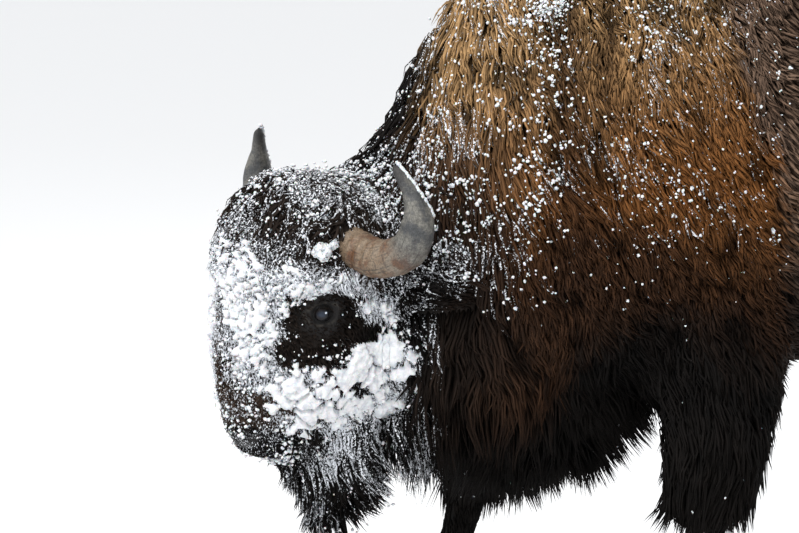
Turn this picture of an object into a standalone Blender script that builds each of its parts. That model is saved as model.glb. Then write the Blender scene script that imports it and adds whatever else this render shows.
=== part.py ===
"""A life-size American bison bull that forages with its head lowered and turned to its left.

Metres, +Z up. The animal faces -X and its left side faces -Y. The flesh and its coat are lofted
as overlapping forms, fused into one closed skin, and parted again with thin cuts, so that each
named part meets its neighbour with a hair-thin gap. The solids reach to the tips of the coat.
"""

import math

import bmesh
import bpy
from mathutils import Matrix, Vector

# Driving dimensions of the bull
HUMP_HEIGHT = 1.78
HIP_HEIGHT = 1.43
BELLY_HEIGHT = 0.72
FLANK_HEIGHT = 0.80
CHEST_HALF_WIDTH = 0.385
HIP_HALF_WIDTH = 0.285
RUMP_X = 1.47
FORELEG_Y = 0.185
HINDLEG_Y = 0.165

# The head: where the middle between the eyes is, and how the head is turned from straight ahead
HEAD_PLACE = Vector((-0.864, -0.15, 0.853))
HEAD_YAW = math.radians(33)
HEAD_ROLL = math.radians(3.5)
HEAD_PITCH = math.radians(0)
EYE_RADIUS = 0.0215
EYE_PLACE = Vector((0.0, -0.134, 0.0))
HORN_RADIUS = 0.047

# Plain colours and roughness by kind of node
FINISHES = {
    "eye": ((0.012, 0.008, 0.006), 0.1),
    "horn": ((0.16, 0.13, 0.11), 0.4),
    "hoof": ((0.05, 0.045, 0.04), 0.5),
    "head": ((0.05, 0.032, 0.022), 0.9),
    "muzzle": ((0.06, 0.045, 0.035), 0.8),
    "jaw": ((0.04, 0.026, 0.02), 0.9),
    "beard": ((0.03, 0.02, 0.015), 0.9),
    "ear": ((0.05, 0.034, 0.025), 0.9),
    "fore": ((0.12, 0.07, 0.035), 0.9),
    "coat": ((0.10, 0.062, 0.036), 0.9),
}

# How the forms are fused and parted
FUSE_VOXEL = 0.014
FLESH_TRIANGLES = 2980
CUT = 0.0006
LIMB_MARGIN = 0.045
SOCKET_GAP = 0.0012
CORONET_HEIGHT = 0.062
CLOVE_GAP = 0.006

# Trunk and neck, from tail head to skull: top (x, z), underside (x, z), half width, how much
# the upper half narrows to a crest, and the middle's y
TRUNK = (
    ((RUMP_X + 0.02, 1.20), (RUMP_X, 1.03), 0.06, 0.0, 0),
    ((RUMP_X - 0.05, 1.31), (RUMP_X - 0.05, 0.96), 0.18, 0.1, 0),
    ((1.20, HIP_HEIGHT - 0.02), (1.20, FLANK_HEIGHT + 0.06), HIP_HALF_WIDTH, 0.2, 0),
    ((0.90, HIP_HEIGHT + 0.01), (0.90, FLANK_HEIGHT), HIP_HALF_WIDTH + 0.01, 0.25, 0),
    ((0.58, 1.545), (0.58, BELLY_HEIGHT + 0.01), 0.345, 0.3, 0),
    ((0.28, 1.69), (0.26, BELLY_HEIGHT), 0.357, 0.38, 0),
    ((0.00, HUMP_HEIGHT), (-0.02, BELLY_HEIGHT - 0.04), CHEST_HALF_WIDTH, 0.46, 0),
    ((-0.25, 1.71), (-0.25, BELLY_HEIGHT - 0.10), CHEST_HALF_WIDTH - 0.015, 0.46, 0),
    ((-0.46, 1.57), (-0.45, 0.59), 0.315, 0.42, 0),
    ((-0.595, 1.37), (-0.56, 0.575), 0.255, 0.35, 0),
    ((-0.655, 1.22), (-0.64, 0.58), 0.220, 0.3, -0.01),
    ((-0.735, 1.15), (-0.70, 0.63), 0.170, 0.2, -0.03),
    ((-0.81, 1.10), (-0.75, 0.72), 0.10, 0.1, -0.07),
)

# The head in its own frame, whose origin is between the eyes, from crown to lips: front (x, z),
# back (x, z), half width, how much the front narrows, and the middle's y
HEAD = (
    ((0.02, 0.290), (0.11, 0.262), 0.06, 0.0, 0),
    ((-0.085, 0.255), (0.20, 0.215), 0.145, 0.0, 0),
    ((-0.150, 0.165), (0.27, 0.125), 0.178, 0.0, 0),
    ((-0.170, 0.070), (0.295, 0.035), 0.182, 0.05, 0),
    ((-0.176, -0.01), (0.30, -0.055), 0.168, 0.1, 0),
    ((-0.176, -0.09), (0.285, -0.145), 0.168, 0.2, 0),
    ((-0.168, -0.16), (0.235, -0.21), 0.145, 0.3, 0),
    ((-0.156, -0.215), (0.125, -0.262), 0.110, 0.25, 0),
    ((-0.141, -0.265), (0.055, -0.300), 0.090, 0.12, 0),
    ((-0.118, -0.305), (0.015, -0.325), 0.078, 0.05, 0),
    ((-0.080, -0.332), (-0.010, -0.338), 0.035, 0.0, 0),
)
# The beard hangs from jaw and throat, in the head's frame
BEARD = (
    ((0.02, -0.20), (0.25, -0.17), 0.110, 0, 0),
    ((0.015, -0.28), (0.245, -0.265), 0.105, 0, 0),
    ((0.035, -0.345), (0.215, -0.345), 0.082, 0, 0),
    ((0.070, -0.415), (0.170, -0.420), 0.050, 0, 0),
    ((0.100, -0.462), (0.128, -0.466), 0.014, 0, 0),
)
# The mane under throat and brisket hangs between the forelegs
BRISKET_MANE = (
    ((-0.58, 0.80), (-0.06, 0.76), 0.200, 0, 0),
    ((-0.56, 0.68), (-0.08, 0.70), 0.170, 0, 0),
    ((-0.50, 0.59), (-0.14, 0.61), 0.130, 0, 0),
    ((-0.44, 0.545), (-0.20, 0.555), 0.070, 0, 0),
    ((-0.38, 0.53), (-0.26, 0.535), 0.022, 0, 0),
)

# Limbs: the joints give the pose as (x, z), from the top of the limb to the coronet. The
# sections are the same on both sides: place along the joints, half depth, half width.
FORELEG_JOINTS = {
    "left": ((0.00, 1.04), (0.06, 0.79), (0.03, 0.43), (0.03, 0.135), (0.008, 0.055)),
    "right": ((-0.08, 1.04), (-0.24, 0.79), (-0.46, 0.44), (-0.54, 0.140), (-0.565, 0.055)),
}
FORELEG_SECTIONS = (
    (0.0, 0.185, 0.105),
    (0.7, 0.160, 0.110),
    (1.1, 0.140, 0.103),
    (1.5, 0.125, 0.095),
    (1.84, 0.106, 0.078),
    (2.0, 0.060, 0.052),
    (2.3, 0.045, 0.040),
    (2.75, 0.045, 0.041),
    (3.0, 0.057, 0.051),
    (3.5, 0.058, 0.054),
    (4.0, 0.066, 0.058),
)
HINDLEG_JOINTS = {
    "left": ((1.20, 1.10), (1.06, 0.80), (1.16, 0.51), (1.06, 0.135), (1.035, 0.055)),
    "right": ((1.21, 1.10), (1.14, 0.79), (1.33, 0.53), (1.27, 0.135), (1.245, 0.055)),
}
HINDLEG_SECTIONS = (
    (0.0, 0.235, 0.115),
    (0.5, 0.245, 0.125),
    (1.0, 0.215, 0.112),
    (1.5, 0.130, 0.082),
    (1.85, 0.078, 0.055),
    (2.05, 0.066, 0.047),
    (2.3, 0.045, 0.038),
    (2.75, 0.043, 0.038),
    (3.0, 0.053, 0.047),
    (3.5, 0.054, 0.050),
    (4.0, 0.062, 0.054),
)
TAIL_JOINTS = ((1.44, 1.24), (1.525, 1.16), (1.575, 1.00), (1.575, 0.84), (1.56, 0.60))
TAIL_SECTIONS = (
    (0.0, 0.050, 0.050),
    (1.0, 0.036, 0.036),
    (2.0, 0.025, 0.024),
    (3.0, 0.030, 0.028),
    (3.35, 0.045, 0.042),
    (4.0, 0.014, 0.014),
)

# Horn in the head's frame, left side: it leaves the skull sideways, dips, and hooks upwards
HORN_LINE = (
    (0.050, -0.100, 0.150),
    (0.067, -0.170, 0.127),
    (0.083, -0.235, 0.116),
    (0.112, -0.290, 0.146),
    (0.129, -0.320, 0.215),
    (0.118, -0.303, 0.275),
    (0.101, -0.272, 0.322),
)
HORN_TAPER = (1.0, 1.0, 0.92, 0.86, 0.68, 0.40, 0.07)

# Ear in the head's frame, left side: from its root to its tip, with half width and thickness
EAR_ROOT = Vector((0.150, -0.130, 0.060))
EAR_TIP = Vector((0.238, -0.285, 0.062))
EAR_SECTIONS = (
    (0.00, 0.026, 0.020),
    (0.20, 0.034, 0.017),
    (0.45, 0.047, 0.014),
    (0.70, 0.040, 0.011),
    (0.90, 0.020, 0.008),
    (1.00, 0.005, 0.004),
)


def spline(rows, count):
    """Rows of numbers read at count even steps along a Catmull-Rom curve through them."""
    last = len(rows) - 1
    read = []
    for step in range(count):
        place = step * last / (count - 1)
        i = min(int(place), last - 1)
        t = place - i
        a, b, c, d = (rows[max(0, min(last, i + k))] for k in (-1, 0, 1, 2))
        read.append(
            [
                0.5 * (2 * q + (r - p) * t + (2 * p - 5 * q + 4 * r - s) * t**2
                       + (3 * q - p - 3 * r + s) * t**3)
                for p, q, r, s in zip(a, b, c, d)
            ]
        )
    return read


def new_object(name, mesh_builder, collection):
    """A mesh object whose geometry comes from one bmesh function."""
    bm = bmesh.new()
    mesh_builder(bm)
    bmesh.ops.recalc_face_normals(bm, faces=bm.faces)
    mesh = bpy.data.meshes.new(name)
    bm.to_mesh(mesh)
    bm.free()
    obj = bpy.data.objects.new(name, mesh)
    collection.objects.link(obj)
    return obj


def loft(bm, rings):
    """Closed skin over rings of points, with both ends capped."""
    loops = [[bm.verts.new(point) for point in ring] for ring in rings]
    for ring, following in zip(loops, loops[1:]):
        for i in range(len(ring)):
            j = (i + 1) % len(ring)
            bm.faces.new((ring[i], ring[j], following[j], following[i]))
    bm.faces.new(loops[0])
    bm.faces.new(reversed(loops[-1]))


def section_ring(row, sides):
    """One body section: an oval between its top and underside, narrowed towards the top."""
    top_x, top_z, low_x, low_z, half_width, crest, mid_y = row
    ring = []
    for i in range(sides):
        up, out = math.sin(math.tau * i / sides), math.cos(math.tau * i / sides)
        x = (top_x + low_x) / 2 + (top_x - low_x) / 2 * up
        z = (top_z + low_z) / 2 + (top_z - low_z) / 2 * up
        y = mid_y + half_width * out * (1 - crest * max(0.0, up) ** 1.5)
        ring.append(Vector((x, y, z)))
    return ring


def body_form(bm, stations, rings, sides, matrix=Matrix.Identity(4)):
    """A loft through body stations, placed by matrix."""
    rows = [(*top, *low, width, crest, y) for top, low, width, crest, y in stations]
    loft(bm, [[matrix @ p for p in section_ring(row, sides)] for row in spline(rows, rings)])


def limb_form(bm, joints, sections, mid_y, rings, sides):
    """A limb whose oval sections stand square to the line through its joints."""
    rows = []
    for place, depth, width in spline(sections, rings):
        i = min(int(place), len(joints) - 2)
        t = place - i
        near = [Vector(joints[max(0, min(len(joints) - 1, i + k))]) for k in (-1, 0, 1, 2)]
        here = near[1].lerp(near[2], t)
        along = (near[2] - near[0]).lerp(near[3] - near[1], t).normalized()
        ahead = Vector((along.y, -along.x)) * depth
        rows.append((*(here + ahead), *(here - ahead), width, 0.0, mid_y))
    loft(bm, [section_ring(row, sides) for row in rows])


def head_matrix():
    turned = Matrix.Rotation(HEAD_YAW, 4, "Z") @ Matrix.Rotation(HEAD_ROLL, 4, "X")
    return Matrix.Translation(HEAD_PLACE) @ turned @ Matrix.Rotation(HEAD_PITCH, 4, "Y")


def side_flip(side):
    """The head's parts are given for the left side, at -Y. The right side mirrors them."""
    return Matrix.Scale(1 if side == "left" else -1, 4, (0, 1, 0))


def fused_flesh(collection):
    """All flesh and coat as one closed, smoothed and thinned-out mesh object."""

    def build(bm):
        body_form(bm, TRUNK, rings=60, sides=40)
        body_form(bm, HEAD, rings=44, sides=36, matrix=head_matrix())
        body_form(bm, BEARD, rings=16, sides=20, matrix=head_matrix())
        body_form(bm, BRISKET_MANE, rings=16, sides=24)
        for side, sign in (("left", -1), ("right", 1)):
            limb_form(bm, FORELEG_JOINTS[side], FORELEG_SECTIONS, sign * FORELEG_Y, 48, 24)
            limb_form(bm, HINDLEG_JOINTS[side], HINDLEG_SECTIONS, sign * HINDLEG_Y, 48, 24)
        limb_form(bm, TAIL_JOINTS, TAIL_SECTIONS, 0.0, 30, 16)

    flesh = new_object("flesh", build, collection)
    fuse = flesh.modifiers.new("fuse", "REMESH")
    fuse.mode = "VOXEL"
    fuse.voxel_size = FUSE_VOXEL
    soften = flesh.modifiers.new("soften", "SMOOTH")
    soften.factor = 0.5
    soften.iterations = 8
    fused = evaluated_copy(flesh)
    bpy.data.objects.remove(flesh)
    thin = fused.modifiers.new("thin", "DECIMATE")
    thin.ratio = FLESH_TRIANGLES / (2 * len(fused.data.polygons))
    return fused


def evaluated_copy(obj):
    """A plain mesh object in the same collection, with obj's modifiers applied."""
    graph = bpy.context.evaluated_depsgraph_get()
    mesh = bpy.data.meshes.new_from_object(obj.evaluated_get(graph), depsgraph=graph)
    copy = bpy.data.objects.new(obj.name + "_made", mesh)
    copy.matrix_world = obj.matrix_world
    obj.users_collection[0].objects.link(copy)
    return copy


def horn(side, collection, grow=0.0):
    """A tapering hooked horn. With grow, it's the cutter for its socket."""
    curve = bpy.data.curves.new("horn_" + side, "CURVE")
    curve.dimensions = "3D"
    curve.bevel_depth = HORN_RADIUS
    curve.bevel_resolution = 2
    curve.use_fill_caps = True
    line = spline([(*p, r) for p, r in zip(HORN_LINE, HORN_TAPER)], 16)
    line[0] = [a + (a - b) * 50 * grow for a, b in zip(line[0], line[1])]
    points = curve.splines.new("POLY").points
    points.add(len(line) - 1)
    matrix = head_matrix() @ side_flip(side)
    for point, (x, y, z, radius) in zip(points, line):
        point.co = (*(matrix @ Vector((x, y, z))), 1)
        point.radius = radius + grow / HORN_RADIUS
    drawn = bpy.data.objects.new("horn_line", curve)
    collection.objects.link(drawn)
    solid = evaluated_copy(drawn)
    solid.name = "horn_" + side
    bpy.data.objects.remove(drawn)
    weld(solid)
    return solid


def weld(obj):
    """Joins a curve's loose caps to its sides and turns all faces out."""
    bm = bmesh.new()
    bm.from_mesh(obj.data)
    bmesh.ops.remove_doubles(bm, verts=bm.verts, dist=1e-5)
    bmesh.ops.recalc_face_normals(bm, faces=bm.faces)
    bm.to_mesh(obj.data)
    bm.free()


def eye(side, collection, grow=0.0):
    def build(bm):
        bmesh.ops.create_uvsphere(bm, u_segments=12, v_segments=8, radius=EYE_RADIUS + grow)

    ball = new_object("eye_" + side, build, collection)
    ball.matrix_world = head_matrix() @ Matrix.Translation(side_flip(side) @ EYE_PLACE)
    return ball


def eye_hollow(side, collection):
    """The bare hollow in the coat that the eye looks out of."""

    def build(bm):
        bmesh.ops.create_uvsphere(bm, u_segments=16, v_segments=10, radius=1.0)

    bowl = new_object("eye_hollow", build, collection)
    place = side_flip(side) @ (EYE_PLACE + Vector((0.004, -0.040, -0.004)))
    bowl.matrix_world = (
        head_matrix() @ Matrix.Translation(place) @ Matrix.Diagonal((0.062, 0.034, 0.044, 1))
    )
    return bowl


def ear(side, collection, grow=0.0):
    """A leaf-shaped ear, cupped a little, from its root in the head to its tip."""
    along = (EAR_TIP - EAR_ROOT).normalized()
    edge = along.cross(Vector((1, 0, 0.4))).normalized()
    flat = along.cross(edge)

    def build(bm):
        rings = []
        for place, width, thickness in spline(EAR_SECTIONS, 9):
            middle = EAR_ROOT.lerp(EAR_TIP, place) + flat * 0.05 * place * (1 - place)
            middle += along * grow * (1 if place > 0.5 else -1)
            ring = []
            for i in range(8):
                a = math.tau * i / 8
                out = edge * (width + grow) * math.cos(a)
                ring.append(middle + out + flat * (thickness + grow) * math.sin(a))
            rings.append(ring)
        loft(bm, rings)
        bmesh.ops.transform(bm, matrix=head_matrix() @ side_flip(side), verts=bm.verts)

    return new_object("ear_" + side, build, collection)


def hoof_claw(name, place, depth, half_width, inner, collection):
    """One half of a cloven hoof: flat sole, upright inner wall, sloping round outer wall."""
    levels = (
        (0.0, 1.12, 1.0, 0.0),
        (0.030, 1.06, 0.95, 0.012),
        (CORONET_HEIGHT - CUT, 0.86, 0.80, 0.030),
    )

    def build(bm):
        rings = []
        for z, length, width, back in levels:
            ring = []
            for i in range(13):
                a = math.pi * i / 12
                reach = half_width * width * math.sin(a) ** 0.6
                x = place.x + back - depth * length * math.cos(a)
                ring.append(Vector((x, place.y + inner * (CLOVE_GAP / 2 + reach), z)))
            rings.append(ring)
        loft(bm, rings)

    return new_object(name, build, collection)


def block(matrix, collection):
    """A unit cube placed by matrix, used to take flesh apart."""

    def build(bm):
        bmesh.ops.create_cube(bm, size=1.0)

    cube = new_object("cut_block", build, collection)
    cube.matrix_world = matrix
    return cube


def carved(obj, cutter, operation, name):
    """A new object made of obj and cutter by one Boolean operation. Both of them stay."""
    boolean = obj.modifiers.new("carve", "BOOLEAN")
    boolean.operation = operation
    boolean.object = cutter
    made = evaluated_copy(obj)
    obj.modifiers.remove(boolean)
    made.name = name
    return made


def take(flesh, name, region):
    """Takes what lies in a region out of the flesh. region(grow) makes the region's solid."""
    inner, outer = region(0.0), region(CUT)
    part = carved(flesh, inner, "INTERSECT", name)
    rest = carved(flesh, outer, "DIFFERENCE", flesh.name)
    for used in (inner, outer, flesh):
        bpy.data.objects.remove(used)
    return part, rest


def split(flesh, name, rest_name, centre, normal):
    """Parts flesh with a thin plane. The piece that normal points to is called name."""
    turn = Vector(normal).to_track_quat("Z", "Y").to_matrix().to_4x4()
    halves = []
    for sign, half_name in ((-1, name), (1, rest_name)):
        shift = Matrix.Translation((0, 0, sign * (1.5 - CUT / 2)))
        half_space = Matrix.Translation(centre) @ turn @ shift @ Matrix.Scale(3, 4)
        cutter = block(half_space, flesh.users_collection[0])
        halves.append(carved(flesh, cutter, "DIFFERENCE", half_name))
        bpy.data.objects.remove(cutter)
    bpy.data.objects.remove(flesh)
    return halves


def between(joints, place):
    i = min(int(place), len(joints) - 2)
    return Vector(joints[i]).lerp(Vector(joints[i + 1]), place - i)


def limb_region(joints, sections, first, inner_y, outer_y, collection):
    """The space around a limb, from a place along its joints down to below the floor."""
    sign = 1 if outer_y > inner_y else -1

    def region(grow):
        rings = []
        for place, depth, _ in spline(sections, 24):
            i = min(int(max(place, first)), len(joints) - 2)
            along = Vector(joints[i + 1]) - Vector(joints[i])
            reach = (depth + LIMB_MARGIN) * along.length / abs(along.y) + grow
            here = between(joints, max(place, first))
            ends = ((-reach, inner_y - sign * grow), (-reach, outer_y + sign * grow))
            ends += ((reach, outer_y + sign * grow), (reach, inner_y - sign * grow))
            ring = [Vector((here.x + x, y, here.y)) for x, y in ends]
            if place < first:
                rings = []
                ring = [p + Vector((0, 0, grow)) for p in ring]
            rings.append(ring)
        rings.append([p - Vector((0, 0, 0.2)) for p in rings[-1]])
        return new_object("region", lambda bm: loft(bm, rings), collection)

    return region


def box_region(low, high, collection, matrix=Matrix.Identity(4)):
    """A box between two corners, in the frame given by matrix."""
    low, high = Vector(low), Vector(high)

    def region(grow):
        size = high - low + Vector((2 * grow,) * 3)
        place = Matrix.Translation((low + high) / 2)
        return block(matrix @ place @ Matrix.Diagonal((*size, 1)), collection)

    return region


def limb_split(flesh, name, rest_name, joints, place, mid_y):
    """Parts a limb square to its joints. The piece above is called name."""
    i = min(int(place), len(joints) - 2)
    along = Vector(joints[i]) - Vector(joints[i + 1])
    here = between(joints, place)
    return split(flesh, name, rest_name, (here.x, mid_y, here.y), (along.x, 0, along.y))


UPPER_NAMES = {"foreleg": "upper", "hindleg": "shank"}


def part_limbs(flesh, collection):
    """Takes the four limbs out of the flesh, and parts each at its two lower joints."""
    limbs = (
        ("foreleg", FORELEG_JOINTS, FORELEG_SECTIONS, FORELEG_Y, 0.7, 0.07),
        ("hindleg", HINDLEG_JOINTS, HINDLEG_SECTIONS, HINDLEG_Y, 0.35, 0.05),
    )
    for limb, all_joints, sections, mid_y, first, inner_y in limbs:
        for side, sign in (("left", -1), ("right", 1)):
            joints = all_joints[side]
            region = limb_region(joints, sections, first, sign * inner_y, sign * 0.6, collection)
            leg, flesh = take(flesh, "leg", region)
            name = f"{limb}_{side}_"
            if limb == "hindleg":
                thigh, leg = limb_split(leg, name + "thigh", "leg", joints, 1.12, sign * mid_y)
            upper, leg = limb_split(leg, name + UPPER_NAMES[limb], "leg", joints, 2.0, sign * mid_y)
            cannon, foot = limb_split(leg, name + "cannon", "leg", joints, 2.86, sign * mid_y)
            under = Matrix.Translation((0, 0, CORONET_HEIGHT - 2)) @ Matrix.Scale(4, 4)
            below = block(under, collection)
            carved(foot, below, "DIFFERENCE", name + "foot")
            bpy.data.objects.remove(foot)
            bpy.data.objects.remove(below)
    return flesh


def part_flesh(flesh, collection):
    """Parts the whole flesh into its named nodes."""
    for side in ("left", "right"):
        cutters = (
            eye_hollow(side, collection),
            eye(side, collection, SOCKET_GAP),
            horn(side, collection, SOCKET_GAP),
            ear(side, collection, 2 * SOCKET_GAP),
        )
        for cutter in cutters:
            whole = flesh
            flesh = carved(whole, cutter, "DIFFERENCE", "flesh")
            bpy.data.objects.remove(whole)
            bpy.data.objects.remove(cutter)
    flesh = part_limbs(flesh, collection)
    head = head_matrix()
    tail, flesh = take(flesh, "tail", box_region((1.50, -0.2, 0.3), (1.80, 0.2, 1.22), collection))
    split(tail, "tail_switch", "tail_dock", *tail_plane())
    turn = head.to_3x3()
    before_nape = box_region((-0.4, -0.4, -0.7), (0.22, 0.4, 0.5), collection, head)
    skull, flesh = take(flesh, "skull", before_nape)
    for name, place, down in (
        ("beard", (0.1, 0, -0.27), (0.75, 0, -1)),
        ("muzzle", (-0.02, 0, -0.195), (-0.3, 0, -1)),
        ("jaw", (0.1, 0, -0.1), (0, 0, -1)),
    ):
        _, skull = split(skull, name, "head", head @ Vector(place), turn @ Vector(down))
    under_chest = box_region((-0.62, -0.5, 0.2), (-0.14, 0.5, 0.63), collection)
    mane, flesh = take(flesh, "brisket_mane", under_chest)
    neck, flesh = split(flesh, "neck", "flesh", (-0.42, 0, 1.1), (-1, 0, -0.1))
    forequarters, flesh = split(flesh, "forequarters", "flesh", (0.30, 0, 1.1), (-1, 0, 0))
    split(flesh, "barrel", "hindquarters", (0.76, 0, 1.1), (-1, 0, 0))


def tail_plane():
    """Where the tail's long hair begins, and its direction."""
    low, high = between(TAIL_JOINTS, 3.1), between(TAIL_JOINTS, 2.9)
    here, along = (low + high) / 2, low - high
    return (here.x, 0, here.y), (along.x, 0, along.y)


def centre_on_floor(collection):
    """Moves the bull so that the middle of its footprint's box is the origin."""
    bpy.context.view_layer.update()
    corners = [o.matrix_world @ Vector(c) for o in collection.objects for c in o.bound_box]
    low = [min(c[i] for c in corners) for i in range(3)]
    high = [max(c[i] for c in corners) for i in range(3)]
    shift = Matrix.Translation((-(low[0] + high[0]) / 2, -(low[1] + high[1]) / 2, -low[2]))
    for obj in collection.objects:
        obj.matrix_world = shift @ obj.matrix_world


def paint(collection):
    """One plain material on each node, by the kind of thing it is."""
    for obj in collection.objects:
        kind = next((k for k in FINISHES if obj.name.startswith(k)), "coat")
        colour, roughness = FINISHES[kind]
        material = bpy.data.materials.new(obj.name + "_finish")
        material.use_nodes = True
        shader = material.node_tree.nodes["Principled BSDF"]
        shader.inputs["Base Color"].default_value = (*colour, 1)
        shader.inputs["Roughness"].default_value = roughness
        obj.data.materials.clear()
        obj.data.materials.append(material)


def main():
    for obj in list(bpy.data.objects):
        bpy.data.objects.remove(obj)
    scene = bpy.context.scene.collection
    bison = bpy.data.collections.new("bison")
    scene.children.link(bison)
    part_flesh(fused_flesh(bison), bison)
    for side, sign in (("left", -1), ("right", 1)):
        eye(side, bison)
        horn(side, bison)
        ear(side, bison)
        legs = (
            ("fore", FORELEG_JOINTS[side], FORELEG_Y, 0.066, 0.062),
            ("hind", HINDLEG_JOINTS[side], HINDLEG_Y, 0.060, 0.056),
        )
        for limb, joints, y, depth, half_width in legs:
            place = Vector((joints[-1][0], sign * y, 0))
            for claw, inner in (("inner", -sign), ("outer", sign)):
                hoof_claw(f"hoof_{limb}_{side}_{claw}", place, depth, half_width, inner, bison)


    centre_on_floor(bison)
    paint(bison)


main()
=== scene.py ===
"""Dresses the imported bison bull: one skin over the flesh, a coat of solid tufts, horns, hooves, eyes
and snow caught in the hair, seen from the animal's left with a long lens.
"""

import math
from contextlib import contextmanager

import bmesh
import bpy
import numpy as np
from mathutils import Matrix, Vector
from mathutils.bvhtree import BVHTree
from mathutils.kdtree import KDTree


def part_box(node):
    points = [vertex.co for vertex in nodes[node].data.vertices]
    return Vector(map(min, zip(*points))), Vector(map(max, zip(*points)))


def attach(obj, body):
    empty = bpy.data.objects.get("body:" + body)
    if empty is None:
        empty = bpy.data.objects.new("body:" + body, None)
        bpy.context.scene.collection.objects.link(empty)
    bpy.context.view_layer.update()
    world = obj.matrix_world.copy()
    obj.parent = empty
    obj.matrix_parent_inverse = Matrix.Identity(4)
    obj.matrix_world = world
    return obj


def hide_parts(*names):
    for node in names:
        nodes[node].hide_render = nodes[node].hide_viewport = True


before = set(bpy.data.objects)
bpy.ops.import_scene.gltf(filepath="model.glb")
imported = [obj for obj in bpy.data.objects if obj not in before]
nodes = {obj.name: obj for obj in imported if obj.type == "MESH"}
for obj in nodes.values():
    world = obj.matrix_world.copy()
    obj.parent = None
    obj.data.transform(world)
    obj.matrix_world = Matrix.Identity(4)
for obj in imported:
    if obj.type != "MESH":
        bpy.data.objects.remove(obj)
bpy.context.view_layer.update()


# ---------------------------------------------------------------------------------------------
# Places. The head's own frame has its origin between the eyes, -X out of the forehead, -Y to the
# animal's left and +Z to the crown. Body places are measured from the floor under the hump.
# ---------------------------------------------------------------------------------------------
HEAD_YAW = math.radians(33)
HEAD_ROLL = math.radians(3.5)
HEAD_IN_BODY = Vector((-0.864, -0.15, 0.853))
EYE_Y = 0.134
EYE_RADIUS = 0.0215


def middle(node):
    low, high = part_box(node)
    return (low + high) / 2


head_place = (middle("eye_left") + middle("eye_right")) / 2
body_place = head_place - HEAD_IN_BODY
head_turn = Matrix.Rotation(HEAD_YAW, 4, "Z") @ Matrix.Rotation(HEAD_ROLL, 4, "X")
head_matrix = Matrix.Translation(head_place) @ head_turn
TURN = np.array(head_turn.to_3x3())
HEAD_ORIGIN = np.array(head_place)


def to_head(points):
    return (points - HEAD_ORIGIN) @ TURN


def out_of_head(points, side=1):
    """Places in the room for places in the head's frame, whose second values side multiplies."""
    points = np.array(points, dtype=float)
    points[:, 1] *= side
    return points @ TURN.T + HEAD_ORIGIN


def to_body(points):
    return points - np.array(body_place)


def ramp(value, low, high):
    """0 before low, 1 after high, and smooth between."""
    t = np.clip((value - low) / (high - low), 0.0, 1.0)
    return t * t * (3 - 2 * t)


def band(value, low, high, soft):
    """1 between low and high, fading to 0 outside them."""
    return ramp(value, low - soft, low + soft) * (1 - ramp(value, high - soft, high + soft))


def blend(first, second, weight):
    """First where the weight is 0, second where it is 1."""
    return first * (1 - weight) + second * weight


def wobble(points, scale, seed):
    """Smooth noise between about -1 and 1, made of a few sine waves in random directions."""
    chance = np.random.default_rng(seed)
    total = np.zeros(len(points))
    for _ in range(7):
        wave = chance.normal(size=3) * scale
        total += np.sin(points @ wave + chance.uniform(0, math.tau))
    return total / 2.6


# ---------------------------------------------------------------------------------------------
# The camera, a long lens that looks a little down on the animal and frames its fore part, and the
# soft light of an overcast day over snow.
# ---------------------------------------------------------------------------------------------
SENSOR_WIDTH = 36
CAMERA_DISTANCE = 12.0
CAMERA_ELEVATION = math.radians(7)
VIEW_WIDTH = 1.718
VIEW_CENTRE = body_place + Vector((-0.6246, 0.0, 0.9108))

camera = bpy.data.cameras.new("camera")
camera.sensor_width = SENSOR_WIDTH
camera.lens = SENSOR_WIDTH * CAMERA_DISTANCE / VIEW_WIDTH
camera.clip_end = 200
camera_object = bpy.data.objects.new("camera", camera)
away = Vector((0, -math.cos(CAMERA_ELEVATION), math.sin(CAMERA_ELEVATION)))
camera_object.location = VIEW_CENTRE + away * CAMERA_DISTANCE
camera_object.rotation_euler = (math.pi / 2 - CAMERA_ELEVATION, 0, 0)
scene = bpy.context.scene
scene.collection.objects.link(camera_object)
scene.camera = camera_object
scene.view_settings.view_transform = "Standard"


def soft_light(name, place, aim, size, power, colour):
    light = bpy.data.lights.new(name, "AREA")
    light.shape = "DISK"
    light.size = size
    light.energy = power
    light.color = colour
    lamp = bpy.data.objects.new(name, light)
    lamp.location = place
    lamp.rotation_euler = (Vector(place) - Vector(aim)).to_track_quat("Z", "Y").to_euler()
    scene.collection.objects.link(lamp)


soft_light("sky_light", (-2.5, -4.5, 7.5), (-0.2, 0, 0.9), 5.0, 520, (1.0, 0.98, 0.95))
soft_light("side_light", (-6.5, -3.0, 2.8), (-0.8, 0, 0.9), 3.0, 70, (0.93, 0.96, 1.0))
soft_light("back_light", (3.5, 6.5, 4.5), (0, 0, 1.0), 4.0, 120, (0.95, 0.97, 1.0))

world = bpy.data.worlds.new("overcast")
world.use_nodes = True
background = world.node_tree.nodes["Background"]
background.inputs["Color"].default_value = (0.965, 0.975, 0.985, 1)
background.inputs["Strength"].default_value = 0.98
scene.world = world


# ---------------------------------------------------------------------------------------------
# The skin. The flesh nodes, each swollen to close the thin cuts, are fused into one surface, which
# is refined over the head and then sunk below the tips of the coat.
# ---------------------------------------------------------------------------------------------
SKIN_VOXEL = 0.0155
SWELL = 0.008
CRUMB_HEIGHT = 0.005
SINK_STEPS = 6
THICKEST = 0.3
NOT_FLESH = ("eye", "horn", "hoof", "ear")
flesh_names = sorted(n for n in nodes if not n.startswith(NOT_FLESH))

# Horns and ears are cut off this far from the head's middle plane, and balls fill the hollows round
# the eyes and the pasterns where they enter the hooves
HORN_STUB = 0.165
EAR_STUB = 0.170
EYE_FILL = ((0.004, 0.120, -0.004), (0.080, 0.052, 0.062))
PASTERN_RADII = (0.064, 0.060, 0.046)
PASTERN_HEIGHT = 0.072
HEEL_TO_PASTERN = 0.070
FEET = [end + "_" + side for end in ("fore", "hind") for side in ("left", "right")]


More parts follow.
